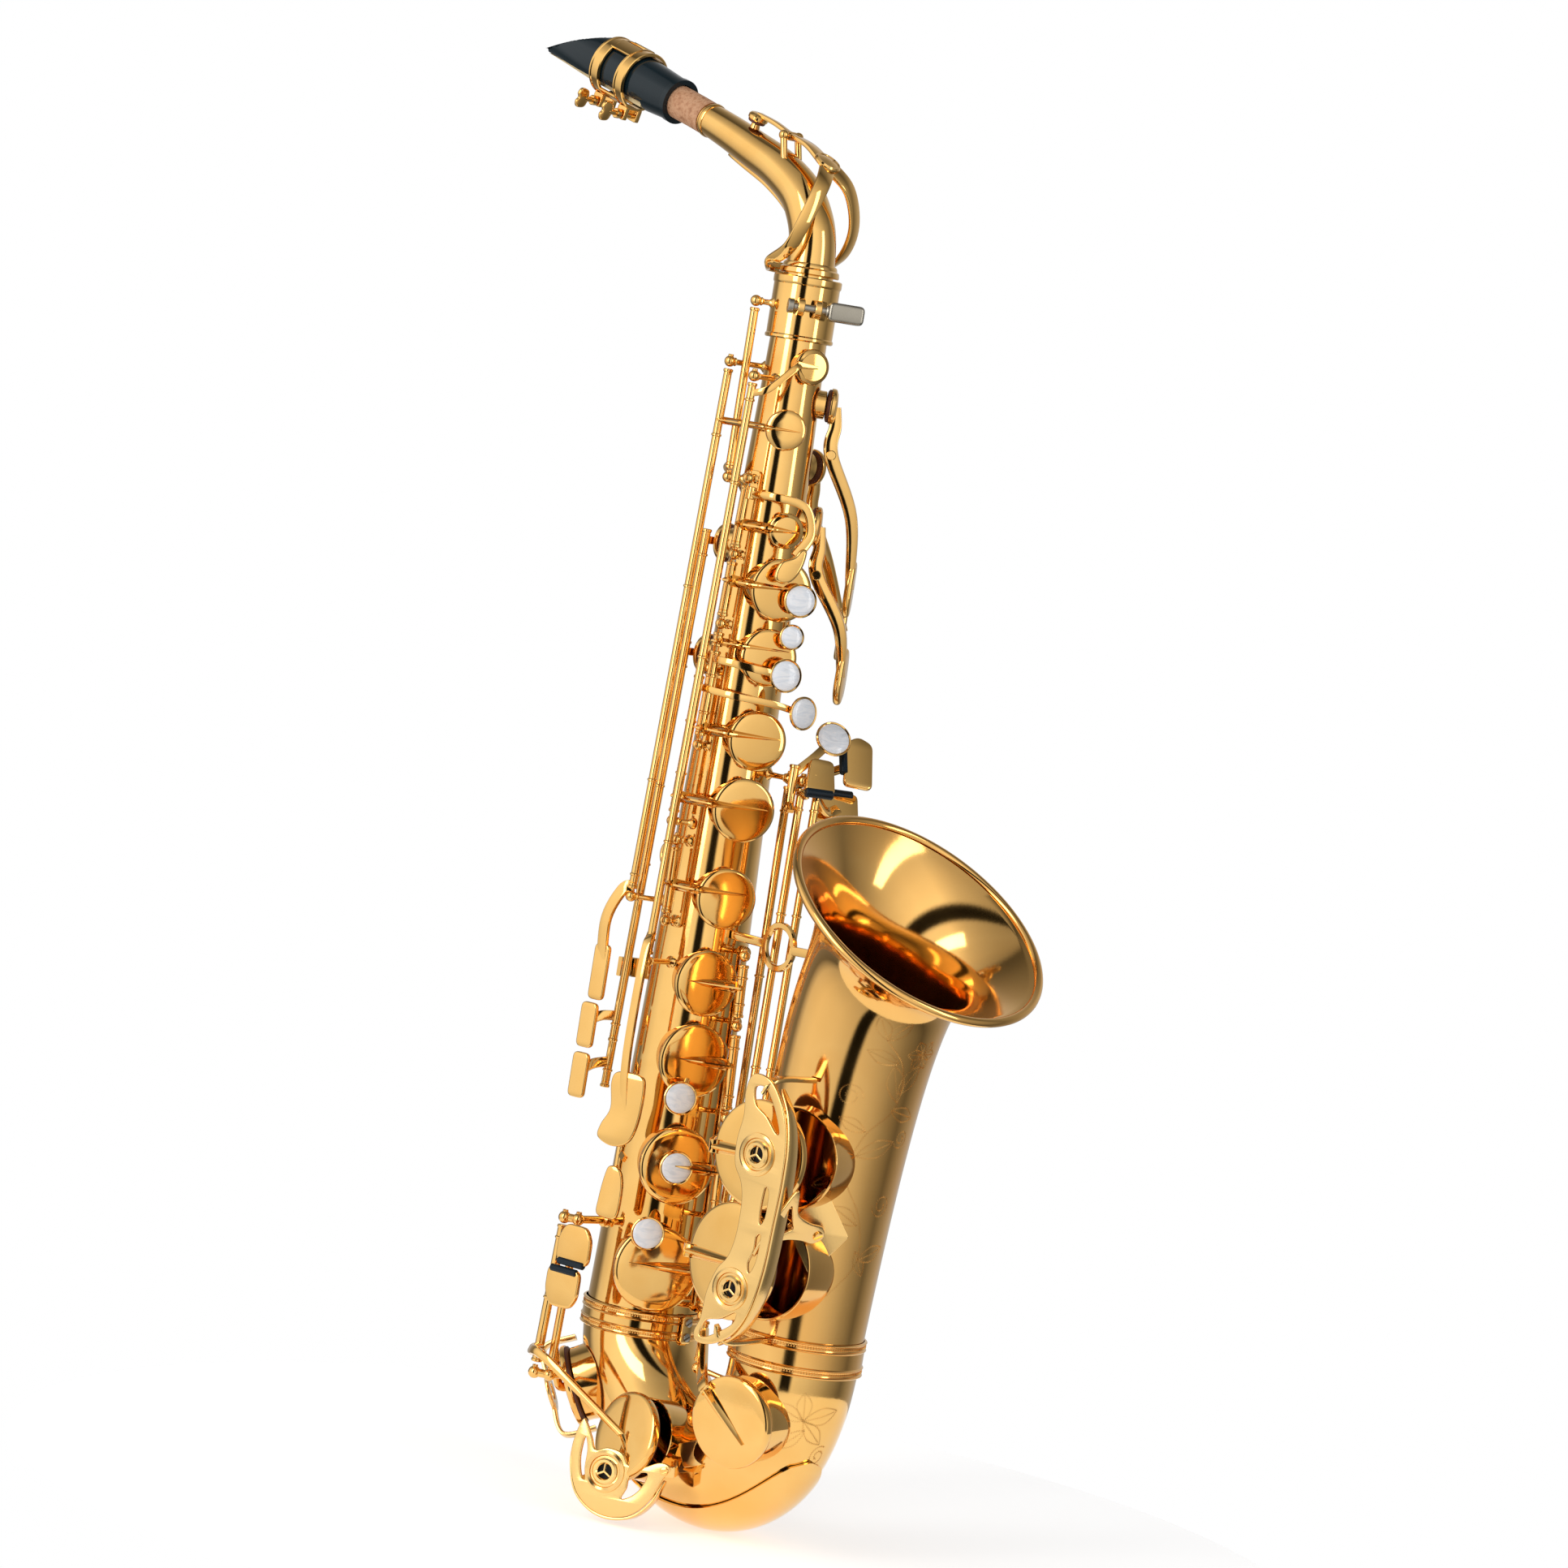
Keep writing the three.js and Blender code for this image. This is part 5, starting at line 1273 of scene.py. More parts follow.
def bell_keys():
    for name, line_name, low, path, spot, shape in (
            ("low_b", "table_b", 58, vec(40, 13.5, 246), vec(42, 17.5, 254),
             [(-7, -8.4), (7.4, -8.4), (7.4, 8.4), (-4, 9.2)]),
            ("low_b_flat", "table_b_flat", 24, vec(37, 30, 238), vec(36, 38, 240),
             [(-13, -9), (9, -8), (9, 8), (-12, 8)])):
        line, place = LINES[line_name], HOLES[name]
        angle = open_by(name, line_name, LIFT["bell"])
        top = place.top(CUP["low"])
        side = square_to(place.facing, line.at(place.seat.z) - top)
        knee = top + side * (place.cup + 2) - place.facing
        moving = cup(place, CUP["low"]).join(
            strap([line.at(place.seat.z), knee.lerp(line.at(place.seat.z), 0.4), knee,
                   top + side * (place.cup - 3) + place.facing * 0.6], 6, 2.6, side),
            spine([top + side * (place.cup - 1) + place.facing * 0.4, top + side * 8 + place.facing * 0.8,
                   top - side * 10 + place.facing * 0.6], 5.6, 3, place.facing, 0.2))
        fixed = hinge_tube(line, low, TABLE["tube_top"], TUBE["side"]).join(
            collars(line, (low + 8, 120, 190, 238), TUBE["side"]),
            strap([line.at(TABLE["arm"]), path, spot], 5, 2.2, PINKY),
            touch(spot, PLATE, rounded(shape, 3), 2.6))
        metal = moving.turned(line, angle).join(fixed)
        put(name + "_metal", metal, name + "_key", "brass", name + "_key")
        put(name + "_pad", pad(place).turned(line, angle), name + "_key", "leather")
        edge = spot + PLATE.cross(TABLE_ACROSS) * (-8.2 if name == "low_b" else 7.4)
        put(name + "_roller", roller(edge, TABLE_ACROSS, 13, 2.2), name + "_key", "roller")


def low_c_sharp_key():
    line, place = LINES["low_c_sharp"], HOLES["low_c_sharp"]
    top = place.top(CUP["low"])
    side = square_to(place.facing, line.at(14) - top)
    knee = top + side * (place.cup + 1.5)
    metal = hinge_tube(line, -12, 6.4, TUBE["side"]).join(
        strap([line.at(2), knee, top + side * (place.cup - 4) + place.facing * 0.6], 5, 2.4, side),
        spine([top + side * (place.cup - 1) + place.facing * 0.4, top + side * 6 + place.facing * 0.8,
               top - side * 12 + place.facing * 0.6], 5.4, 3, place.facing, 0.15))
    key("low_c_sharp_key", "low_c_sharp", metal, [place], CUP["low"])


bell_keys()
low_c_sharp_key()


# ---- right little finger: low C and low E flat ----
LITTLE_FINGER = around(-78)
LITTLE_FINGER_ACROSS = UP.cross(LITTLE_FINGER).normalized()


def low_c_key():
    line, place = LINES["low_c"], HOLES["low_c"]
    angle = open_by("low_c", "low_c", LIFT["c"])
    top = place.top(CUP["low"])
    elbow = vec(14, -60, -24)
    normal = vec(0.1, -1, 0.3).normalized()
    moving = cup(place, CUP["low"]).join(
        sweep(through([line.at(-24), vec(-2, -58, -23), elbow, top + place.facing * 0.4]),
              lambda t: flat_section(5.4 - 2 * t, 4.2 - t, 1.4), normal),
        spine([top + place.facing * 0.4, top + vec(4, 0, -4) + place.facing * 0.4,
               top + vec(8, 0, -9) + place.facing * 0.2], 4, 2.4, place.facing, 0.3))
    spot = vec(4, -53, 8)
    low_outline = rounded([(-9.5, 9), (-9.5, -3), (-6, -9.5), (6, -9.5), (9.5, -4), (9.5, 9)], 4.5)
    handle = hinge_tube(line, -30, 34, TUBE["stack"]).join(
        bar(line.at(10), spot, 6, 2.2, around(-80)), touch(spot, LITTLE_FINGER, low_outline, 2.6),
        collars(line, (-24, 0, 28), TUBE["stack"]))
    metal = moving.turned(line, angle).join(handle)
    put("low_c_metal", metal, "low_c_key", "brass", "low_c_key")
    put("low_c_pad", pad(place).turned(line, angle), "low_c_key", "leather")
    pin = spot + UP * 7.6 + LITTLE_FINGER * 0.8
    put("low_c_roller", roller(pin, LITTLE_FINGER_ACROSS, 15), "low_c_key", "roller")


def low_e_flat_key():
    line, place = LINES["low_e_flat"], HOLES["low_e_flat"]
    top = place.top(CUP["body"])
    spot = vec(7, -52, 27.5)
    high_outline = rounded([(-9.5, -8.5), (9.5, -8.5), (9.5, 4), (6, 9.5), (-6, 9.5), (-9.5, 3)], 4.5)
    metal = hinge_tube(line, -30, 34, TUBE["side"]).join(
        strap([line.at(-22), top + vec(6, -12, 3), top + place.facing * 0.4], 4, 2.2,
              vec(-0.9, -0.3, 0).normalized()),
        bar(line.at(26), spot, 6, 2.2, around(-80)), touch(spot, LITTLE_FINGER, high_outline, 2.6))
    pin = spot - UP * 8.0 + LITTLE_FINGER * 0.8
    key("low_e_flat_key", "low_e_flat", metal, [place], extras=[
        ("low_e_flat_roller", roller(pin, LITTLE_FINGER_ACROSS, 15), "roller", None)])


low_c_key()
low_e_flat_key()


def low_hinge_posts():
    """The long posts that carry the little finger's hinges, with collars where they meet the tube."""
    made = Shape()
    for z in (37.5, -35):
        for name in ("low_c", "low_e_flat"):
            head = LINES[name].at(z)
            made.join(ball(head, 2.9, UP), screw_head(head + UP * 2.6, UP, 1.3))
        foot = around(-104) * (body_radius(z) - 0.6) + UP * z
        start, end = LINES["low_c"].at(z), LINES["low_e_flat"].at(z)
        made.join(rod(start, end, 2.0, 16), rod(end, foot, 1.9, 16))
        direction = end - foot
        made.join(revolve([(0, 0), (3.4, 0), (3.4, 1), (2.6, 1.6), (2.6, 2.6), (3.1, 3), (3.1, 3.8),
                           (2, 4.4), (0, 4.4)], foot, direction, 6 if z < 0 else 24))
    put("low_hinge_posts", made, "body", "brass")


low_hinge_posts()


# ---- guards ----
class Board:
    """A flat frame to draw on: right, up and out from an origin."""

    def __init__(self, origin, right, up, out):
        self.origin, self.right, self.up, self.out = origin, right, up, out

    def at(self, x, y, depth=0.0):
        return self.origin + self.right * x + self.up * y + self.out * depth


def adjuster(board, x, y):
    """A felt bumper's ring: raised rim, screwed cap with three spokes."""
    center = board.at(x, y, 0.6)
    rim = revolve([(6.8, 0), (9.6, 0), (9.4, 0.8), (8.4, 1.3), (7.3, 0.8)], center, board.out, 48,
                  closed=True)
    inner = revolve([(3.4, -0.4), (6.0, -0.4), (6.0, 0.9), (5.2, 1.6), (4.0, 1.6), (3.4, 0.9)], center,
                    board.out, 40, closed=True)
    for deg in (90, 210, 330):
        a = math.radians(deg)
        tip = board.at(x + math.cos(a) * 3.6, y + math.sin(a) * 3.6, 1.4)
        inner.join(bar(board.at(x, y, 1.4), tip, 1.1, 1.0, board.out))
    return rim, inner


def felt_disc(board, x, y, depth):
    radius, height = 4.2, 4.0
    profile = [(0, 0), (radius, 0), (radius, height - 0.6), (radius - 0.6, height), (0, height)]
    return revolve(profile, board.at(x, y, -depth), board.out, 32)


def bell_guard_arm(board):
    """The bell guard's side arm, screwed to a kite-shaped foot; also the screw's place and facing."""
    foot = bent_hole(bell_curve, bell_radius, 0.28, -42, 0, 0.2)
    lift = foot.seat + foot.facing * 9.5
    root = board.at(14.6, 0, -2.6)
    right = (lift - root).normalized()
    out = square_to(right, board.out + board.right * 0.4)
    upward = out.cross(right)
    reach = (lift - root).length
    web = smooth_outline([
        (-1, 17), (reach * 0.3, 7.6), (reach * 0.7, 4.6), (reach, 4.4), (reach + 4.2, 0), (reach, -4.4),
        (reach * 0.7, -4.6), (reach * 0.3, -7.6), (-1, -17)])
    window = smooth_outline([
        (1.6, 10), (reach * 0.32, 2.4), (reach * 0.4, 0), (reach * 0.32, -2.4), (1.6, -10), (2.6, 0)])
    arm = plate(web, 1.6, root, right, upward, [window], 0.5)
    arm.join(rod(foot.seat, lift - out * 0.6, 2.4, 20), kite(foot.seat, foot.facing, foot.ahead, 28, 40))
    return arm, lift + out * 0.6, out


def bell_key_guard():
    ahead = lean_by(3.4)
    across = ahead.cross(around(-77)).normalized()
    normal = across.cross(ahead).normalized()
    board = Board(bell_curve.at(0.31) + normal * 64 + across * 6, across, ahead, normal)
    outline = smooth_outline([
        (-11, 60), (-4, 61), (3, 57), (10, 47), (14, 34), (15.5, 18), (15.5, 0), (15, -22),
        (12, -40), (6, -52), (-3, -59), (-12, -61), (-15, -57), (-13, -50), (-12.5, -38),
        (-9.5, -27), (-5, -20), (-3, -10), (-3.4, 4), (-6, 13), (-11, 20), (-12.5, 30),
        (-11.5, 42), (-13, 52)])
    holes = [
        smooth_outline([(-8, 55), (-3, 56), (3, 50), (8.6, 40), (7.4, 38.4), (1, 44), (-6, 48)]),
        smooth_outline([(7.6, 14), (9.8, 12), (10.4, 2), (8.6, -2), (7.4, 4)]),
        smooth_outline([(8, -8), (10.2, -7), (10.2, -18), (8, -24), (6.4, -20), (8.2, -14)]),
        smooth_outline([(-11.6, -57), (-9.6, -50.4), (-2, -47.6), (5, -43), (4.4, -48), (-3, -54),
                        (-8.4, -57.4)]),
        circle(0, -33.5, 3.6), circle(0, 27, 3.6),
    ]
    shape = plate(outline, 1.7, board.origin, across, ahead, holes, 0.6)
    caps, felts = Shape(), Shape()
    for x, y in ((0, -33.5), (0, 27)):
        rim, inner = adjuster(board, x, y)
        shape.join(rim)
        caps.join(inner)
        felts.join(felt_disc(board, x, y, 4.8))
    edge = [(3.4, 57), (10.4, 47.4), (14.6, 34), (16.2, 18), (16.2, 0), (15.7, -22), (12.6, -40),
            (6.4, -52.6), (-3, -59.6)]
    fold = through([board.at(x, y, -3.4) for x, y in edge], 8)
    shape.join(sweep(fold, lambda t: flat_section(1.3, 2 + 6 * math.sin(math.pi * t) ** 0.5, 0.5), normal))

    arm, screw_at, screw_facing = bell_guard_arm(board)
    shape.join(arm)
    for end, x, y, drop in ((1, -4, 56, -29), (-1, -4, -54, -31.4)):
        leg = [board.at(x, y - 3 * end), board.at(x + 3, y + 4 * end, -4),
               board.at(x + 4, y + 4 * end, drop)]
        shape.join(strap(leg, 5, 2, ahead))
    put("bell_guard_frame", shape, "body", "satin", "bell_key_guard")
    put("bell_guard_caps", caps, "body", "satin")
    put("bell_guard_felts", felts, "body", "felt")
    put("bell_guard_screw", screw_head(screw_at, screw_facing, 2.4), "body", "brass")


def low_c_guard():
    """A D-shaped frame over the low C cup, turned a little towards the listener."""
    place = HOLES["low_c"]
    out = (place.facing + around(-40) * 1.1).normalized()
    across = UP.cross(out).normalized()
    upward = out.cross(across)
    board = Board(place.seat + place.facing * 21 - UP * 19 + across * 1.5, across, upward, out)
    outline = smooth_outline([
        (-15, 21), (-18, 10), (-17, 0), (-12.4, -11), (-4, -17.6), (6, -19.4), (16, -16.4),
        (23.4, -8.6), (27.4, 1.6), (30.5, 8), (25, 9.4), (17, 5.6), (10.6, 5.2), (6.6, 9.6),
        (-1, 10.6), (-6.6, 8.6), (-9.6, 14)])
    holes = [
        smooth_outline([(-12.6, 13), (-10.6, 8), (-10.2, 0), (-9, -5.4), (-11, -3.6), (-13, 4)]),
        smooth_outline([(12.4, 0.6), (20, 3.4), (18.6, -3), (14.6, -8), (10, -10.2), (11.6, -5.4)]),
        circle(0, 0, 3.6),
    ]
    shape = plate(outline, 1.7, board.origin, across, upward, holes, 0.6)
    rim, inner = adjuster(board, 0, 0)
    shape.join(rim)
    edge = [(-18.4, 10), (-17.4, 0), (-12.8, -11.4), (-4, -18.2), (6, -20), (16.4, -17), (24, -9),
            (28, 1.6)]
    fold = through([board.at(x, y, -2.6) for x, y in edge], 8)
    shape.join(sweep(fold, lambda t: flat_section(1.3, 2 + 4.5 * math.sin(math.pi * t) ** 0.5, 0.5), out))
    cad_across = -place.ahead.cross(place.facing).normalized()
    cad = Board(place.seat + place.facing * (CUP["low"] + 16), cad_across, place.ahead, place.facing)
    reach = place.cup + 4.5
    feet = [cad.at(0, reach, -24.4), cad.at(-0.75 * reach, -0.66 * reach, -29)]
    tips = [board.at(28, 6), board.at(-13, -8)]
    for tip, foot, away in zip(tips, feet, (place.ahead, -cad_across)):
        shape.join(strap([tip, tip.lerp(foot, 0.5) + away * 3, foot], 5, 2, away + place.facing * 0.3))
    shape.join(kite(bow_curve.at(0.6) + place.facing * (bow_radius(0.6) + 0.2), place.facing, place.ahead,
                    14, 20))
    put("low_c_guard_frame", shape, "body", "satin", "low_c_guard")
    put("low_c_guard_cap", inner, "body", "satin")
    put("low_c_guard_felt", felt_disc(board, 0, 0, 4.8), "body", "felt")
    put("low_c_guard_screw", screw_head(tips[0] + out * 0.9, out, 2.0), "body", "brass")


def low_e_flat_guard():
    place = HOLES["low_e_flat"]
    across = -place.ahead.cross(place.facing).normalized()
    board = Board(place.seat + place.facing * (CUP["body"] + 8.8), across, place.ahead, place.facing)
    shape = plate(circle(0, 0, 9.6), 1.7, board.origin, across, place.ahead, [circle(0, 0, 4)], 0.5)
    reach = place.cup + 3.2
    for end in (-1, 1):
        shape.join(strap([board.at(0, 6 * end), board.at(0, 0.8 * end * reach, 0),
                          board.at(0, end * reach, -4), board.at(0, end * reach, -16.8)], 5, 2,
                         place.ahead * end + place.facing))
    put("low_e_flat_guard_frame", shape, "body", "satin", "low_e_flat_guard")


bell_key_guard()
low_c_guard()
low_e_flat_guard()


# ---- brace, bow guard plate, thumb hook, thumb rest, strap ring ----
def brace():
    z, y, bell_wall = BRACE["z"], BRACE["y"], BRACE["bell_wall"]
    center = vec(BRACE["ring_x"], y, z)
    shape = revolve([(8.7, -1.2), (10.9, -1.2), (11.3, -0.7), (11.3, 0.7), (10.9, 1.2), (8.7, 1.2),
                     (8.3, 0.7), (8.3, -0.7)], center, SIDE, 56, closed=True)
    shape.join(
        bar(vec(body_radius(z) + 0.6, y, z), vec(46.4, y, z), 3.4, 4, UP),
        bar(vec(67.6, y, z), vec(bell_wall, y, z + 1), 3.4, 4, UP),
        plate(rounded_box(7, 12, 2.6), 1.5, vec(body_radius(z) + 1.1, y, z), SIDE, UP),
        plate(rounded_box(7, 12, 2.6), 1.4, vec(bell_wall, y, z + 1), SIDE, vec(0.28, 0, 1).normalized()))
    put("brace", shape, "body", "brass", "bell_brace")


def bow_plate():
    """A thin plate over the bow's outer side, narrowing to both ends."""
    shares = [0.26 + 0.54 * i / 40 for i in range(41)]
    rings = []
    for t in shares:
        center, ahead = bow_curve.at(t), bow_curve.ahead(t)
        out = SIDE.cross(ahead).normalized()
        width = math.radians(50 * math.sin(math.pi * (t - 0.26) / 0.54) ** 0.45 + 1.5)
        ring = []
        for radius, sweep_way in ((bow_radius(t) + 1.5, 1), (bow_radius(t) + 0.5, -1)):
            for k in range(25):
                a = sweep_way * width * (k / 12 - 1)
                ring.append(center + out * (math.cos(a) * radius) + SIDE * (math.sin(a) * radius))
        rings.append(ring)
    put("bow_plate", loft(rings), "body", "brass", "bow_guard_plate")


def thumb_fittings():
    foot, out, side = on_body(150, 172, GAP + 0.9), around(172), tangent(172)
    hook = plate(rounded_box(10, 20, 4), 1.6, foot, side, UP).join(
        strap([foot, foot + out * 8, foot + out * 14 + side, foot + out * 19 + side * 8,
               foot + out * 18 + side * 17], 9, 2.6, UP.cross(out)))
    put("hook", hook, "body", "brass", "thumb_hook")
    seat, out = on_body(THUMB_REST["z"], THUMB_REST["azimuth"], GAP), around(THUMB_REST["azimuth"])
    rest = revolve([(0, 0), (8, 0), (8.1, 1), (8, 2.4), (7.4, 3.5), (6.5, 4), (0, 4)], seat, out, 48)
    put("rest", rest, "body", "ebonite", "thumb_rest")
    rest_rim = revolve([(8.2, 0), (9, 0), (8.9, 1.1), (8.2, 1.3)], seat, out, 48, closed=True)
    put("rest_rim", rest_rim, "body", "brass")


def strap_ring():
    foot = on_body(STRAP_RING["z"], 180, GAP + 0.8)
    center = foot + around(180) * (STRAP_RING["reach"] - 1)
    profile = [(5.7 + 1.4 * math.cos(a), 1.5 * math.sin(a)) for a in circle_angles(14)]
    ring = revolve(profile, center, SIDE, 48, closed=True).join(
        plate(rounded_box(8, 20, 3), 1.5, foot, tangent(180), UP),
        rod(foot, foot + around(180) * 5, 2.7, 20))
    put("strap_eye", ring, "body", "brass", "strap_ring")


brace()
bow_plate()
thumb_fittings()
strap_ring()


# ---- engraving: leaves and scrolls cut in zigzag lines ----
def surface_point(curve, radius_at, length, deg, u, v, share):
    """A point on a bent tube, from millimetres round (u) and along (v) a starting place."""
    t = share + v / length
    radius = radius_at(t)
    a = math.radians(deg) + u / radius
    center, ahead = curve.at(t), curve.ahead(t)
    out = SIDE.cross(ahead).normalized()
    return center + (out * math.cos(a) + SIDE * math.sin(a)) * (radius + 0.02)


def leaf(x, y, angle, length, width):
    """A leaf's outline and its rib, from its stalk outwards."""
    c, s = math.cos(math.radians(angle)), math.sin(math.radians(angle))
    half = [(0, 0), (0.25, 0.7), (0.55, 1), (0.8, 0.6), (1, 0)]
    strokes = []
    for side in (1, -1):
        strokes.append([(x + c * along * length - s * over * side * width / 2,
                         y + s * along * length + c * over * side * width / 2) for along, over in half])
    strokes.append([(x + c * along * length, y + s * along * length) for along in (0, 0.35, 0.7, 0.9)])
    return strokes


def scroll(x, y, radius, turns, start):
    """A spiral that winds in to a quarter of its radius."""
    steps = int(turns * 14)
    stroke = []
    for i in range(steps + 1):
        a = math.radians(start) + 2 * math.pi * i / 14
        reach = 1 - 0.75 * i / steps
        stroke.append((x + math.cos(a) * radius * reach, y + math.sin(a) * radius * reach))
    return [stroke]


def zigzag(stroke, place):
    """A fine zigzag line along a stroke, as a graver leaves it."""
    path = through([vec(x, y, 0) for x, y in stroke], 10)
    length = sum((b - a).length for a, b in zip(path, path[1:]))
    line = Curve(path)
    count = max(3, int(length / 0.55))
    points = []
    for i in range(count + 1):
        t = i / count
        spot, ahead = line.at(t), line.ahead(t)
        shift = 0.42 if i % 2 else -0.42
        points.append(place(spot.x - ahead.y * shift, spot.y + ahead.x * shift))
    return sweep(points, round_section(0.085, 4))


# Leaves: across, up, angle, length, width.
BELL_LEAVES = [
    (6, -56, 20, 17, 7), (2, -40, 150, 15, 7), (-8, -20, 200, 15, 7), (-6, -8, 25, 20, 8),
    (6, 16, -15, 16, 7), (7, 24, 60, 18, 8), (3, 40, 165, 17, 7), (-6, 52, 120, 15, 7),
    (-6, 52, 60, 16, 7), (-4, 4, 160, 14, 6), (4, -52, -60, 13, 6), (8, 20, 110, 20, 9)]
BOW_LEAVES = [
    (0, 0, 20, 18, 8), (0, 0, -40, 16, 7), (0, 0, 100, 14, 7), (0, 0, 160, 16, 7), (2, -4, 230, 15, 6)]


def engraving():
    bell_strokes, bow_strokes = [], []
    stem = [(-6, -74), (6, -56), (2, -36), (-8, -18), (-4, 2), (8, 18), (6, 38), (-6, 52)]
    bell_strokes.append(stem)
    for x, y, angle, length, width in BELL_LEAVES:
        bell_strokes += leaf(x, y, angle, length, width)
    for x, y, radius, start in ((14, -30, 6, 180), (-15, 20, 6, 0), (17, 2, 5, 200), (-14, -44, 5, 20)):
        bell_strokes += scroll(x, y, radius, 1.7, start)
    for petal in range(6):
        bell_strokes += leaf(15, 46, 60 * petal, 9, 6)
    for x, y, angle, length, width in BOW_LEAVES:
        bow_strokes += leaf(x, y, angle, length, width)
    bow_strokes += scroll(-14, -12, 6, 1.8, 90) + scroll(14, -16, 5, 1.6, 60)
    for part, strokes, curve, radius_at, deg, share in (
            ("bell", bell_strokes, bell_curve, bell_radius, -14, 0.5),
            ("bow", bow_strokes, bow_curve, bow_radius, -22, 0.88)):
        def place(u, v):
            return surface_point(curve, radius_at, CURVE_LENGTH[part], deg, u, v, share)
        shape = Shape().join(*[zigzag(stroke, place) for stroke in strokes])
        put(part + "_engraving", shape, "body", "cut")


engraving()


# ---- receiver and neck ----
CLAMP_Z = 463


def neck_receiver():
    r = body_radius(450) + GAP + 0.2
    low, high = BODY["top"] - 7, 477
    profile = [(r, low), (r + 1.6, low), (r + 2.2, low + 0.5), (r + 2.2, low + 1.6), (r + 1.7, low + 2.2),
               (r + 1.7, high - 4), (r + 2.1, high - 3.4), (r + 2.2, high - 2.8), (r + 2.2, high - 0.5),
               (r + 1.8, high), (r, high)]
    shape = revolve(profile, vec(0, 0, 0), UP, 64, closed=True)
    out, along = around(-32), tangent(-32)
    center = out * 18.6 + UP * CLAMP_Z
    for y in (-4, 4):
        start = center + along * (y - 1.5) - out * 0.5
        shape.join(revolve([(2.2, 0), (4.0, 0), (4.2, 0.3), (4.2, 2.7), (4.0, 3), (2.2, 3)], start, along,
                           32, closed=True))
        shape.join(bar(center + along * y - out * 5.6, center + along * y - out * 2.6, 2.8, 7, UP))
    shape.join(post(vec(-5.4, -13.2, CLAMP_Z), LINES["octave"].at(CLAMP_Z)))
    put("receiver", shape, "body", "brass", "neck_receiver")
    screw = rod(center - along * 8, center + along * 9.8, 1.7, 16).join(
        rod(center - along * 10, center - along * 7.3, 3.4, 24),
        plate(rounded_box(8.8, 16.6, 2.6), 6.6, center + along * 16.8, UP, along, bevel=1.5),
        revolve([(0, 0), (2.6, 0), (3.0, 0.6), (2.6, 1.4), (0, 1.4)], center + along * 7.6, along, 24))
    put("clamp_screw", screw, "neck_screw", "nickel", "neck_screw")


neck_receiver()
NECK_SPIN = Matrix.Rotation(math.radians(NECK_TURN), 4, "Z")
neck_curve = Curve(through([
    vec(0, 0, 456), vec(0, 0, 478), vec(-1, 0, 493), vec(-5, 0, 504), vec(-13.5, 0, 515),
    vec(-29, 0, 524.8), vec(-47, 0, 532.2), vec(-66, 0, 539.4), vec(-86, 0, 546), vec(-111, 0, 553.2)], 16))


def neck_radius(t):
    return NECK["radius"] + (NECK["end_radius"] - NECK["radius"]) * t ** NECK["power"]


def cup_like(center, direction):
    """The small cup of the neck's octave pad."""
    return revolve([(0, 0.8), (4.5, 0.8), (4.8, 1.2), (4.8, 2.6), (4.2, 3.4), (3.2, 3.8), (0, 3.9)], center,
                   direction, 36)


def neck_metalwork():
    shares = [i / 60 for i in range(61)]
    shape = bent_shell(neck_curve, neck_radius, lambda t: neck_radius(t) - WALL, shares)
    collar = [(11, 478), (13.6, 478), (13.9, 478.6), (13.6, 480.6), (12.6, 481.4), (12.4, 482.6),
              (11.8, 483.4), (11, 483.4)]
    shape.join(revolve(collar, vec(0, 0, 0), UP, 56, closed=True))
    t = 0.79
    center, ahead = neck_curve.at(t), neck_curve.ahead(t)
    r = neck_radius(t)
    band = [(r - 0.3, -1.2), (r + 0.3, -1.2), (r + 0.6, -0.6), (r + 0.6, 0.6), (r + 0.3, 1.2),
            (r - 0.3, 1.2)]
    shape.join(revolve(band, center, ahead, 48, closed=True))
    shape.join(revolve([(1.1, 0), (2.4, 0), (2.4, 4), (2, 6.3), (1.1, 6.3)], vec(-50, 0, 538),
                       vec(1.4, 0, 6.3), 24, closed=True))
    for y in (-4.8, 4.8):
        shape.join(rod(vec(-22, y, 527), vec(-25, y, 539), 1.6, 16), ball(vec(-25, y, 540), 2.4, UP))
    shares = [0.3 + 0.38 * i / 20 for i in range(21)]
    below = [neck_curve.at(t) - SIDE.cross(neck_curve.ahead(t)).normalized() * (neck_radius(t) + 0.2)
             for t in shares]
    shape.join(sweep(below, lambda t: flat_section(1 + 4 * math.sin(math.pi * t) ** 0.5, 2.2, 0.6),
                     vec(-0.5, 0, -0.8)))
    put("neck_metal", shape.moved(NECK_SPIN), "body", "brass", "neck_tube")


def neck_cork():
    shares = [0.805 + 0.187 * i / 16 for i in range(17)]
    cork = bent_shell(neck_curve, lambda t: 7.9 - 0.5 * max(0, (t - 0.985) / 0.007),
                      lambda t: neck_radius(t) + 0.1, shares)
    put("neck_cork_sleeve", cork.moved(NECK_SPIN), "body", "cork", "neck_cork")


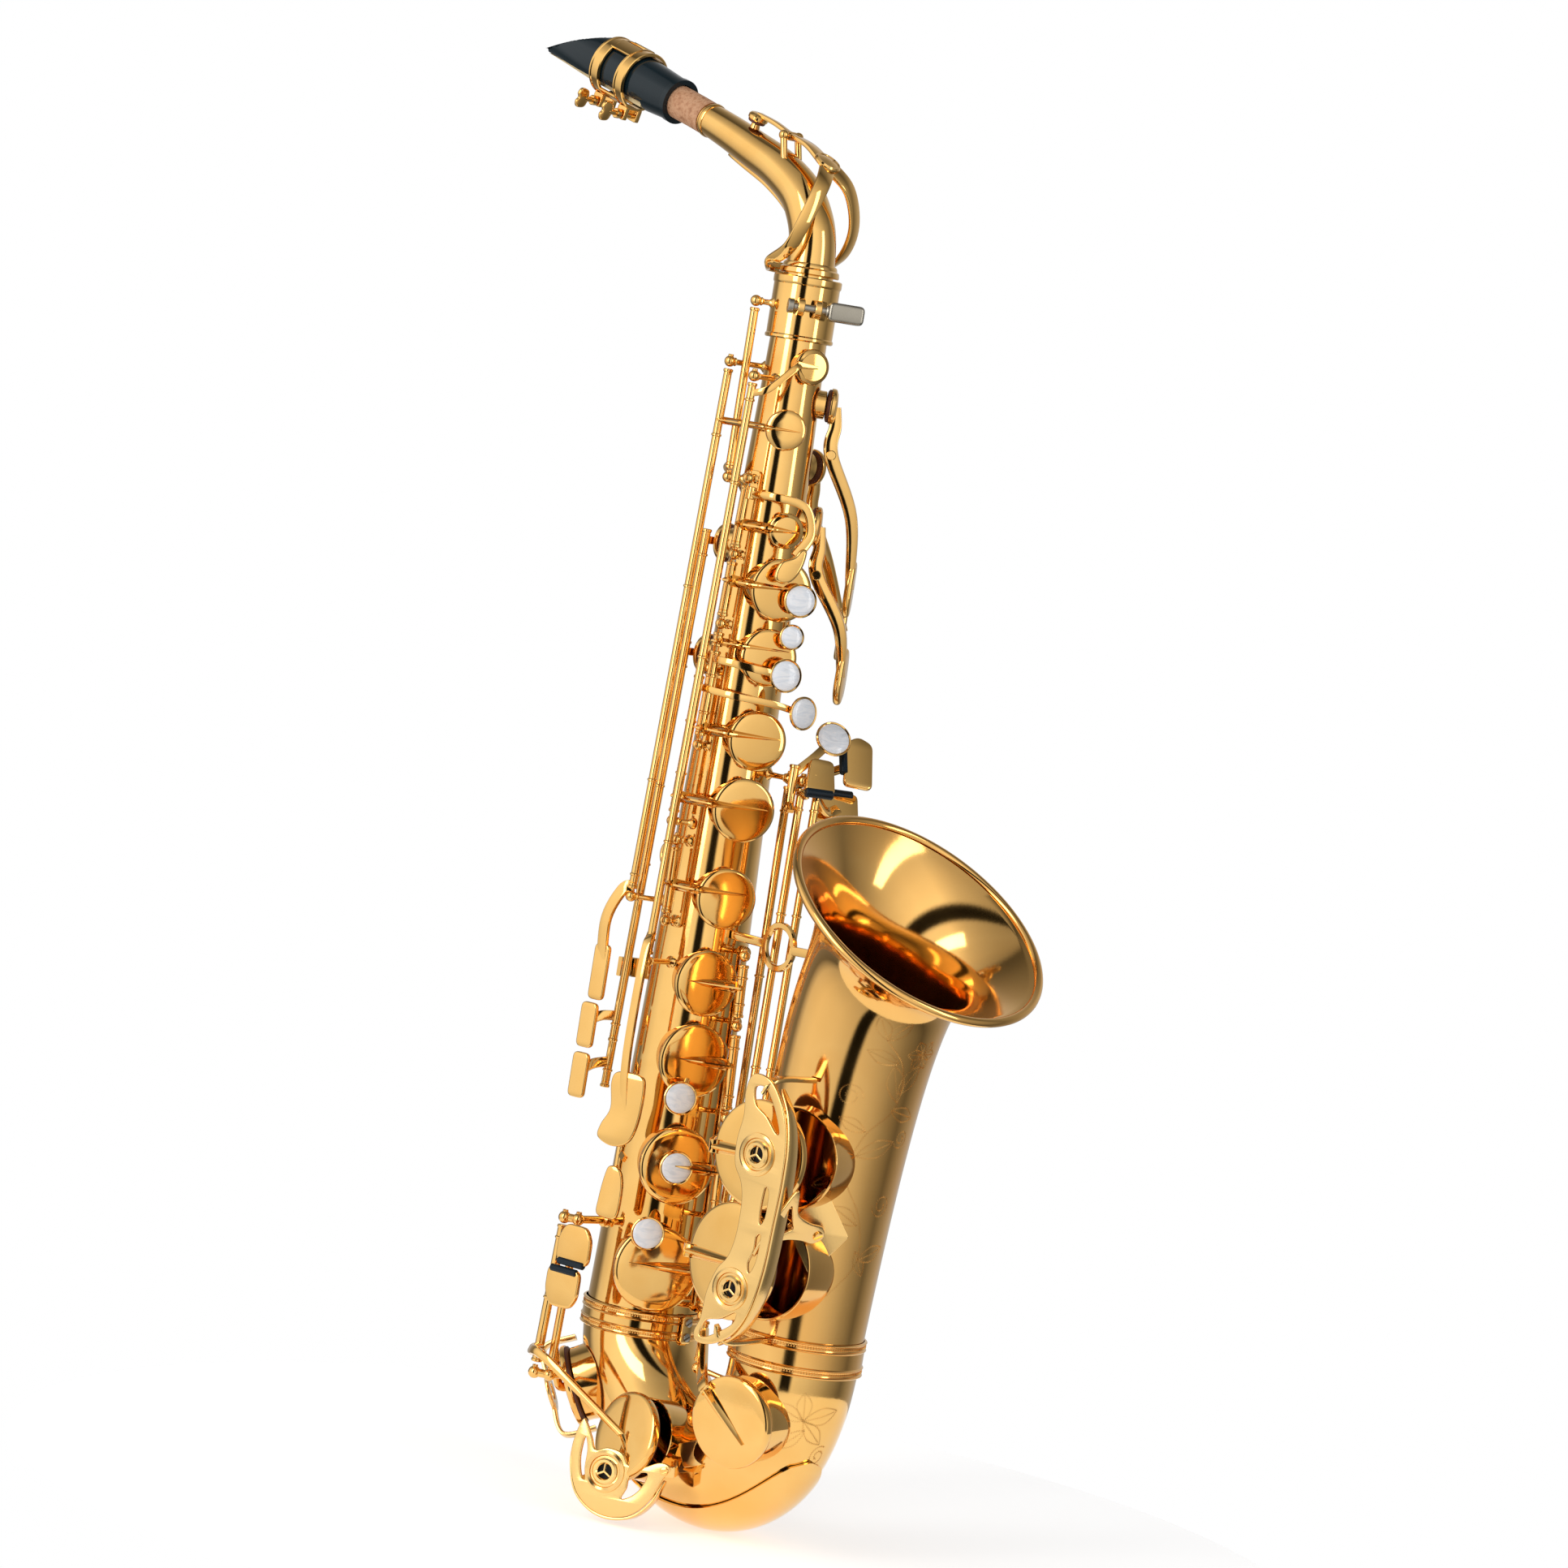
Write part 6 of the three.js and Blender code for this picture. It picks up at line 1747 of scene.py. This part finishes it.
def neck_octave_key():
    """The key on the neck: a beam over the tube, a badge, and two loops that run down round it."""
    rest = vec(-48.4, 0, 545)
    up = vec(0.37, 0, 0.93).normalized()
    path = [rest + up * 3.4, vec(-36, 0, 545), vec(-25, 0, 540.6), vec(-12, 0, 536.4), vec(0, 0, 529)]
    beam = sweep(through(path), lambda t: flat_section(4 + 9.5 * max(0, t - 0.45) ** 0.8, 2.2, 0.9), up)
    badge_facing = vec(0.55, 0, 0.83).normalized()
    badge = revolve([(0, 0), (6.2, 0), (6.6, 0.5), (6.6, 1.4), (6.0, 2.2), (5.4, 2.2), (5.1, 1.9),
                     (4.6, 2.0), (2.2, 2.5), (0, 2.6)], vec(0, 0, 529), badge_facing, 48)
    shape = beam.join(badge, rod(vec(-25, -2.8, 540), vec(-25, 2.8, 540), 2.1, 20), cup_like(rest, up))
    loops = []
    for s in (1, -1):
        loops.append([vec(1, 0, 529), vec(8, s * 9, 519), vec(8, s * 16, 503), vec(2, s * 17.5, 489),
                      vec(-10, s * 16.5, 481.5), vec(-20, s * 7, 480)])
    loops[0].append(vec(-20, -7, 480))
    for s, route in zip((1, -1), loops):
        shape.join(sweep(through(route), lambda t: flat_section(8.4 - 3.4 * t, 2.4, 1.0),
                         vec(1, -0.1 + s * 0.25, 0.2).normalized()))
    put("neck_octave_metal", shape.moved(NECK_SPIN), "neck_octave_key", "brass", "neck_octave_key")
    pad_shape = revolve([(0, 0), (3.9, 0), (4.2, 0.5), (4.2, 1.4), (0, 1.4)], rest - up * 0.5, up, 32)
    put("neck_octave_pad", pad_shape.moved(NECK_SPIN), "neck_octave_key", "leather")


def octave_lever():
    spot = vec(-21.5, 12.5, 356)
    line = LINES["octave"]
    lever = hinge_tube(line, 386, 459.8, TUBE["side"]).join(
        strap([line.at(390), vec(-20, -13, 386), vec(-24.5, 2, 378), spot], 4, 2, around(170)),
        touch(spot, around(150), rounded_box(12, 12, 4), 2))
    put("octave_lever_metal", lever, "octave_lever", "brass", "octave_lever")


neck_metalwork()
neck_cork()
neck_octave_key()
octave_lever()

# ---- mouthpiece: Z from shank to tip, X towards its upper side ----
MOUTHPIECE_LENGTH = 89
TABLE_DEPTH = -7.6
mouthpiece_tilt = Matrix.Rotation(math.radians(-74.2), 4, "Y")
mouthpiece_place = NECK_SPIN @ Matrix.Translation(vec(-99.8, 0, 550.2)) @ mouthpiece_tilt


def mouthpiece_ring(z, sides=64):
    """A ring of the mouthpiece: round at the shank, flat under the reed, sloped above to a thin tip."""
    shank = [(0, 10.8), (3, 10.8), (3.6, 10.3), (34, 12.4), (58, 12.2), (89, 11)]
    (z0, r0), (z1, r1) = next(pair for pair in zip(shank, shank[1:]) if z <= pair[1][0])
    radius = r0 + (r1 - r0) * (z - z0) / (z1 - z0)
    slope = math.tan(math.radians(29))
    ceiling = radius + 1 if z < 46 else -6.4 + (MOUTHPIECE_LENGTH - z) * slope
    under = -radius if z < 17 else TABLE_DEPTH
    ring = []
    for a in circle_angles(sides):
        x, y = math.cos(a) * radius, math.sin(a) * radius
        if z > 60:
            y *= 1 - 0.18 * ((z - 60) / 29) ** 2
        ring.append(vec(min(max(x, under), ceiling), y, z))
    return ring


def mouthpiece():
    steps = [0, 0.4, 3, 3.6, 8, 16.9, 17.1, 24, 34, 42, 46, *[46 + 42.6 * (i + 1) / 30 for i in range(30)]]
    inner = []
    for r, z in ((5.2, 50), (5.6, 49), (5.6, 15.5), (8.3, 15.4), (8.3, 0)):
        inner.append([vec(math.cos(a) * r, math.sin(a) * r, z) for a in circle_angles(64)])
    shape = loft([*inner, *[mouthpiece_ring(z) for z in steps]])
    put("mouthpiece_body", shape.moved(mouthpiece_place), "body", "ebonite", "mouthpiece")

    rings = []
    for z, depth, half in ((18, 2.9, 6.3), (56, 2.6, 6.4), (64, 1.9, 6.5), (76, 0.9, 6.5), (88, 0.25, 6.2)):
        ring = [vec(REED_FACE, half, z), vec(REED_FACE, -half, z)]
        for k in range(9):
            share = k / 4 - 1
            ring.append(vec(REED_FACE - depth * (1 - 0.35 * share * share), half * share * 0.97, z))
        rings.append(ring)
    put("reed_cane", loft(rings).moved(mouthpiece_place), "body", "cane", "reed")


def ligature():
    shape = Shape()
    for z in LIGATURE_BANDS:
        shape.join(revolve([(13, z - 3.4), (14, z - 3.4), (14.4, z - 3.0), (14.4, z - 2.2), (14, z - 1.8),
                            (14, z + 1.8), (14.4, z + 2.2), (14.4, z + 3.0), (14, z + 3.4), (13, z + 3.4)],
                           vec(0, 0, 0), UP, 64, closed=True))
        for y in (-4, 4):
            shape.join(plate(rounded_box(6.5, 6, 1), 2.6, vec(-16.6, y, z), vec(1, 0, 0), UP))
    for deg, width in ((30, 8), (-30, 8), (90, 4), (150, 5), (-150, 5)):
        place = around(deg) * 13.55
        shape.join(bar(place + UP * 32, place + UP * 46, width, 1.5, around(deg)))
    put("ligature_metal", shape.moved(mouthpiece_place), "body", "brass", "ligature")
    for number, z in enumerate(LIGATURE_BANDS, 1):
        wing = smooth_outline([(-4.6, -2), (-2, -3.4), (0, -2.4), (2, -3.4), (4.6, -2), (4.2, 2),
                               (1.6, 3.4), (-1.6, 3.4), (-4.2, 2)])
        screw = rod(vec(-17.6, -13, z), vec(-17.6, 6.5, z), 1.3, 16).join(
            rod(vec(-17.6, -8.4, z), vec(-17.6, -5.8, z), 2.4, 20),
            plate(wing, 2, vec(-17.6, -14.5, z), vec(1, 0, 0), SIDE, bevel=0.7))
        node = f"ligature_screw_{number}"
        put(f"ligature_thumbscrew_{number}", screw.moved(mouthpiece_place), node, "brass", node)


mouthpiece()
ligature()


# ---- floor and light ----
def floor():
    """A small round floor just below the lowest point, in metres."""
    low = cad_box[0][2] - 0.0005
    sides, radius, middle = 96, 0.3, 0.07
    rim = [around(360 * i / sides) * radius for i in range(sides)]
    mesh = bpy.data.meshes.new("floor")
    mesh.from_pydata([(point.x + middle, point.y, low) for point in rim], [], [range(sides)])
    piece = add_object("floor", mesh)
    material = surface("pale_floor", [(0.8, 0.8, 0.8), (0.84, 0.84, 0.84)], (0.6, 0.8), 0, 3, 0.01, 60)
    shader = material.node_tree.nodes["Principled BSDF"]
    shader.inputs["Emission Color"].default_value = (1, 1, 1, 1)
    shader.inputs["Emission Strength"].default_value = 0.55
    mesh.materials.append(material)


def light(name, azimuth, elevation, distance, width, height, power):
    data = bpy.data.lights.new(name, "AREA")
    data.shape = "RECTANGLE"
    data.size, data.size_y, data.energy = width, height, power
    lamp = add_object(name, data)
    out = around(azimuth) * math.cos(math.radians(elevation)) + UP * math.sin(math.radians(elevation))
    lamp.location = vec(0.09, 0, 0.05) + out * distance
    lamp.rotation_euler = out.to_track_quat("Z", "Y").to_euler()


STUDIO_STRENGTH = 1.25
# How bright the studio's walls are, by direction: azimuth in degrees, brightness.
WALLS = [
    (-180, 0.25), (-162, 0.18), (-148, 0.75), (-125, 0.95), (-90, 1.0), (-64, 0.9), (-59, 0.01),
    (-44, 0.01),
    (-39, 1.0), (-15, 0.85), (5, 0.66), (30, 0.38), (60, 0.15), (78, 0.3), (100, 0.45), (140, 0.5),
    (180, 0.25),
]
# And by height: the direction's Z, brightness.
HEIGHTS = [(-1.0, 0.35), (-0.5, 0.6), (-0.1, 0.9), (0.15, 1.0), (0.5, 1.0), (0.72, 0.6), (1.0, 0.3)]


def bands(nodes, links, source, low, high, stops):
    """Brightness by a value that runs from low to high."""
    share = nodes.new("ShaderNodeMapRange")
    share.inputs["From Min"].default_value = low
    share.inputs["From Max"].default_value = high
    links.new(source, share.inputs["Value"])
    levels = [((at - low) / (high - low), (level, level, level)) for at, level in stops]
    return ramp(nodes, links, share.outputs["Result"], levels).outputs["Color"]


def studio():
    """A white room whose walls have dark bands, which the metal mirrors. The camera sees plain white."""
    world = bpy.data.worlds.new("studio")
    world.use_nodes = True
    bpy.context.scene.world = world
    nodes, links = world.node_tree.nodes, world.node_tree.links
    nodes.clear()

    place = nodes.new("ShaderNodeTexCoord")
    split = nodes.new("ShaderNodeSeparateXYZ")
    turn = nodes.new("ShaderNodeMath")
    turn.operation = "ARCTAN2"
    links.new(place.outputs["Generated"], split.inputs["Vector"])
    links.new(split.outputs["Y"], turn.inputs[0])
    links.new(split.outputs["X"], turn.inputs[1])
    wall_stops = [(math.radians(at), level) for at, level in WALLS]
    walls = bands(nodes, links, turn.outputs["Value"], -math.pi, math.pi, wall_stops)
    heights = bands(nodes, links, split.outputs["Z"], -1, 1, HEIGHTS)
    both = nodes.new("ShaderNodeMix")
    both.data_type = "RGBA"
    both.blend_type = "MULTIPLY"
    both.inputs["Factor"].default_value = 1
    links.new(walls, both.inputs["A"])
    links.new(heights, both.inputs["B"])
    mirror = nodes.new("ShaderNodeBackground")
    mirror.inputs["Strength"].default_value = STUDIO_STRENGTH
    links.new(both.outputs["Result"], mirror.inputs["Color"])
    plain = nodes.new("ShaderNodeBackground")
    plain.inputs["Color"].default_value = (1, 1, 1, 1)
    path = nodes.new("ShaderNodeLightPath")
    mix = nodes.new("ShaderNodeMixShader")
    out = nodes.new("ShaderNodeOutputWorld")
    links.new(path.outputs["Is Camera Ray"], mix.inputs["Fac"])
    links.new(mirror.outputs["Background"], mix.inputs[1])
    links.new(plain.outputs["Background"], mix.inputs[2])
    links.new(mix.outputs["Shader"], out.inputs["Surface"])
    bpy.context.scene.view_settings.view_transform = "Standard"


floor()
light("key", -85, 20, 1.7, 0.5, 1.5, 9)
light("fill", 15, 15, 1.9, 0.4, 1.5, 6)
studio()
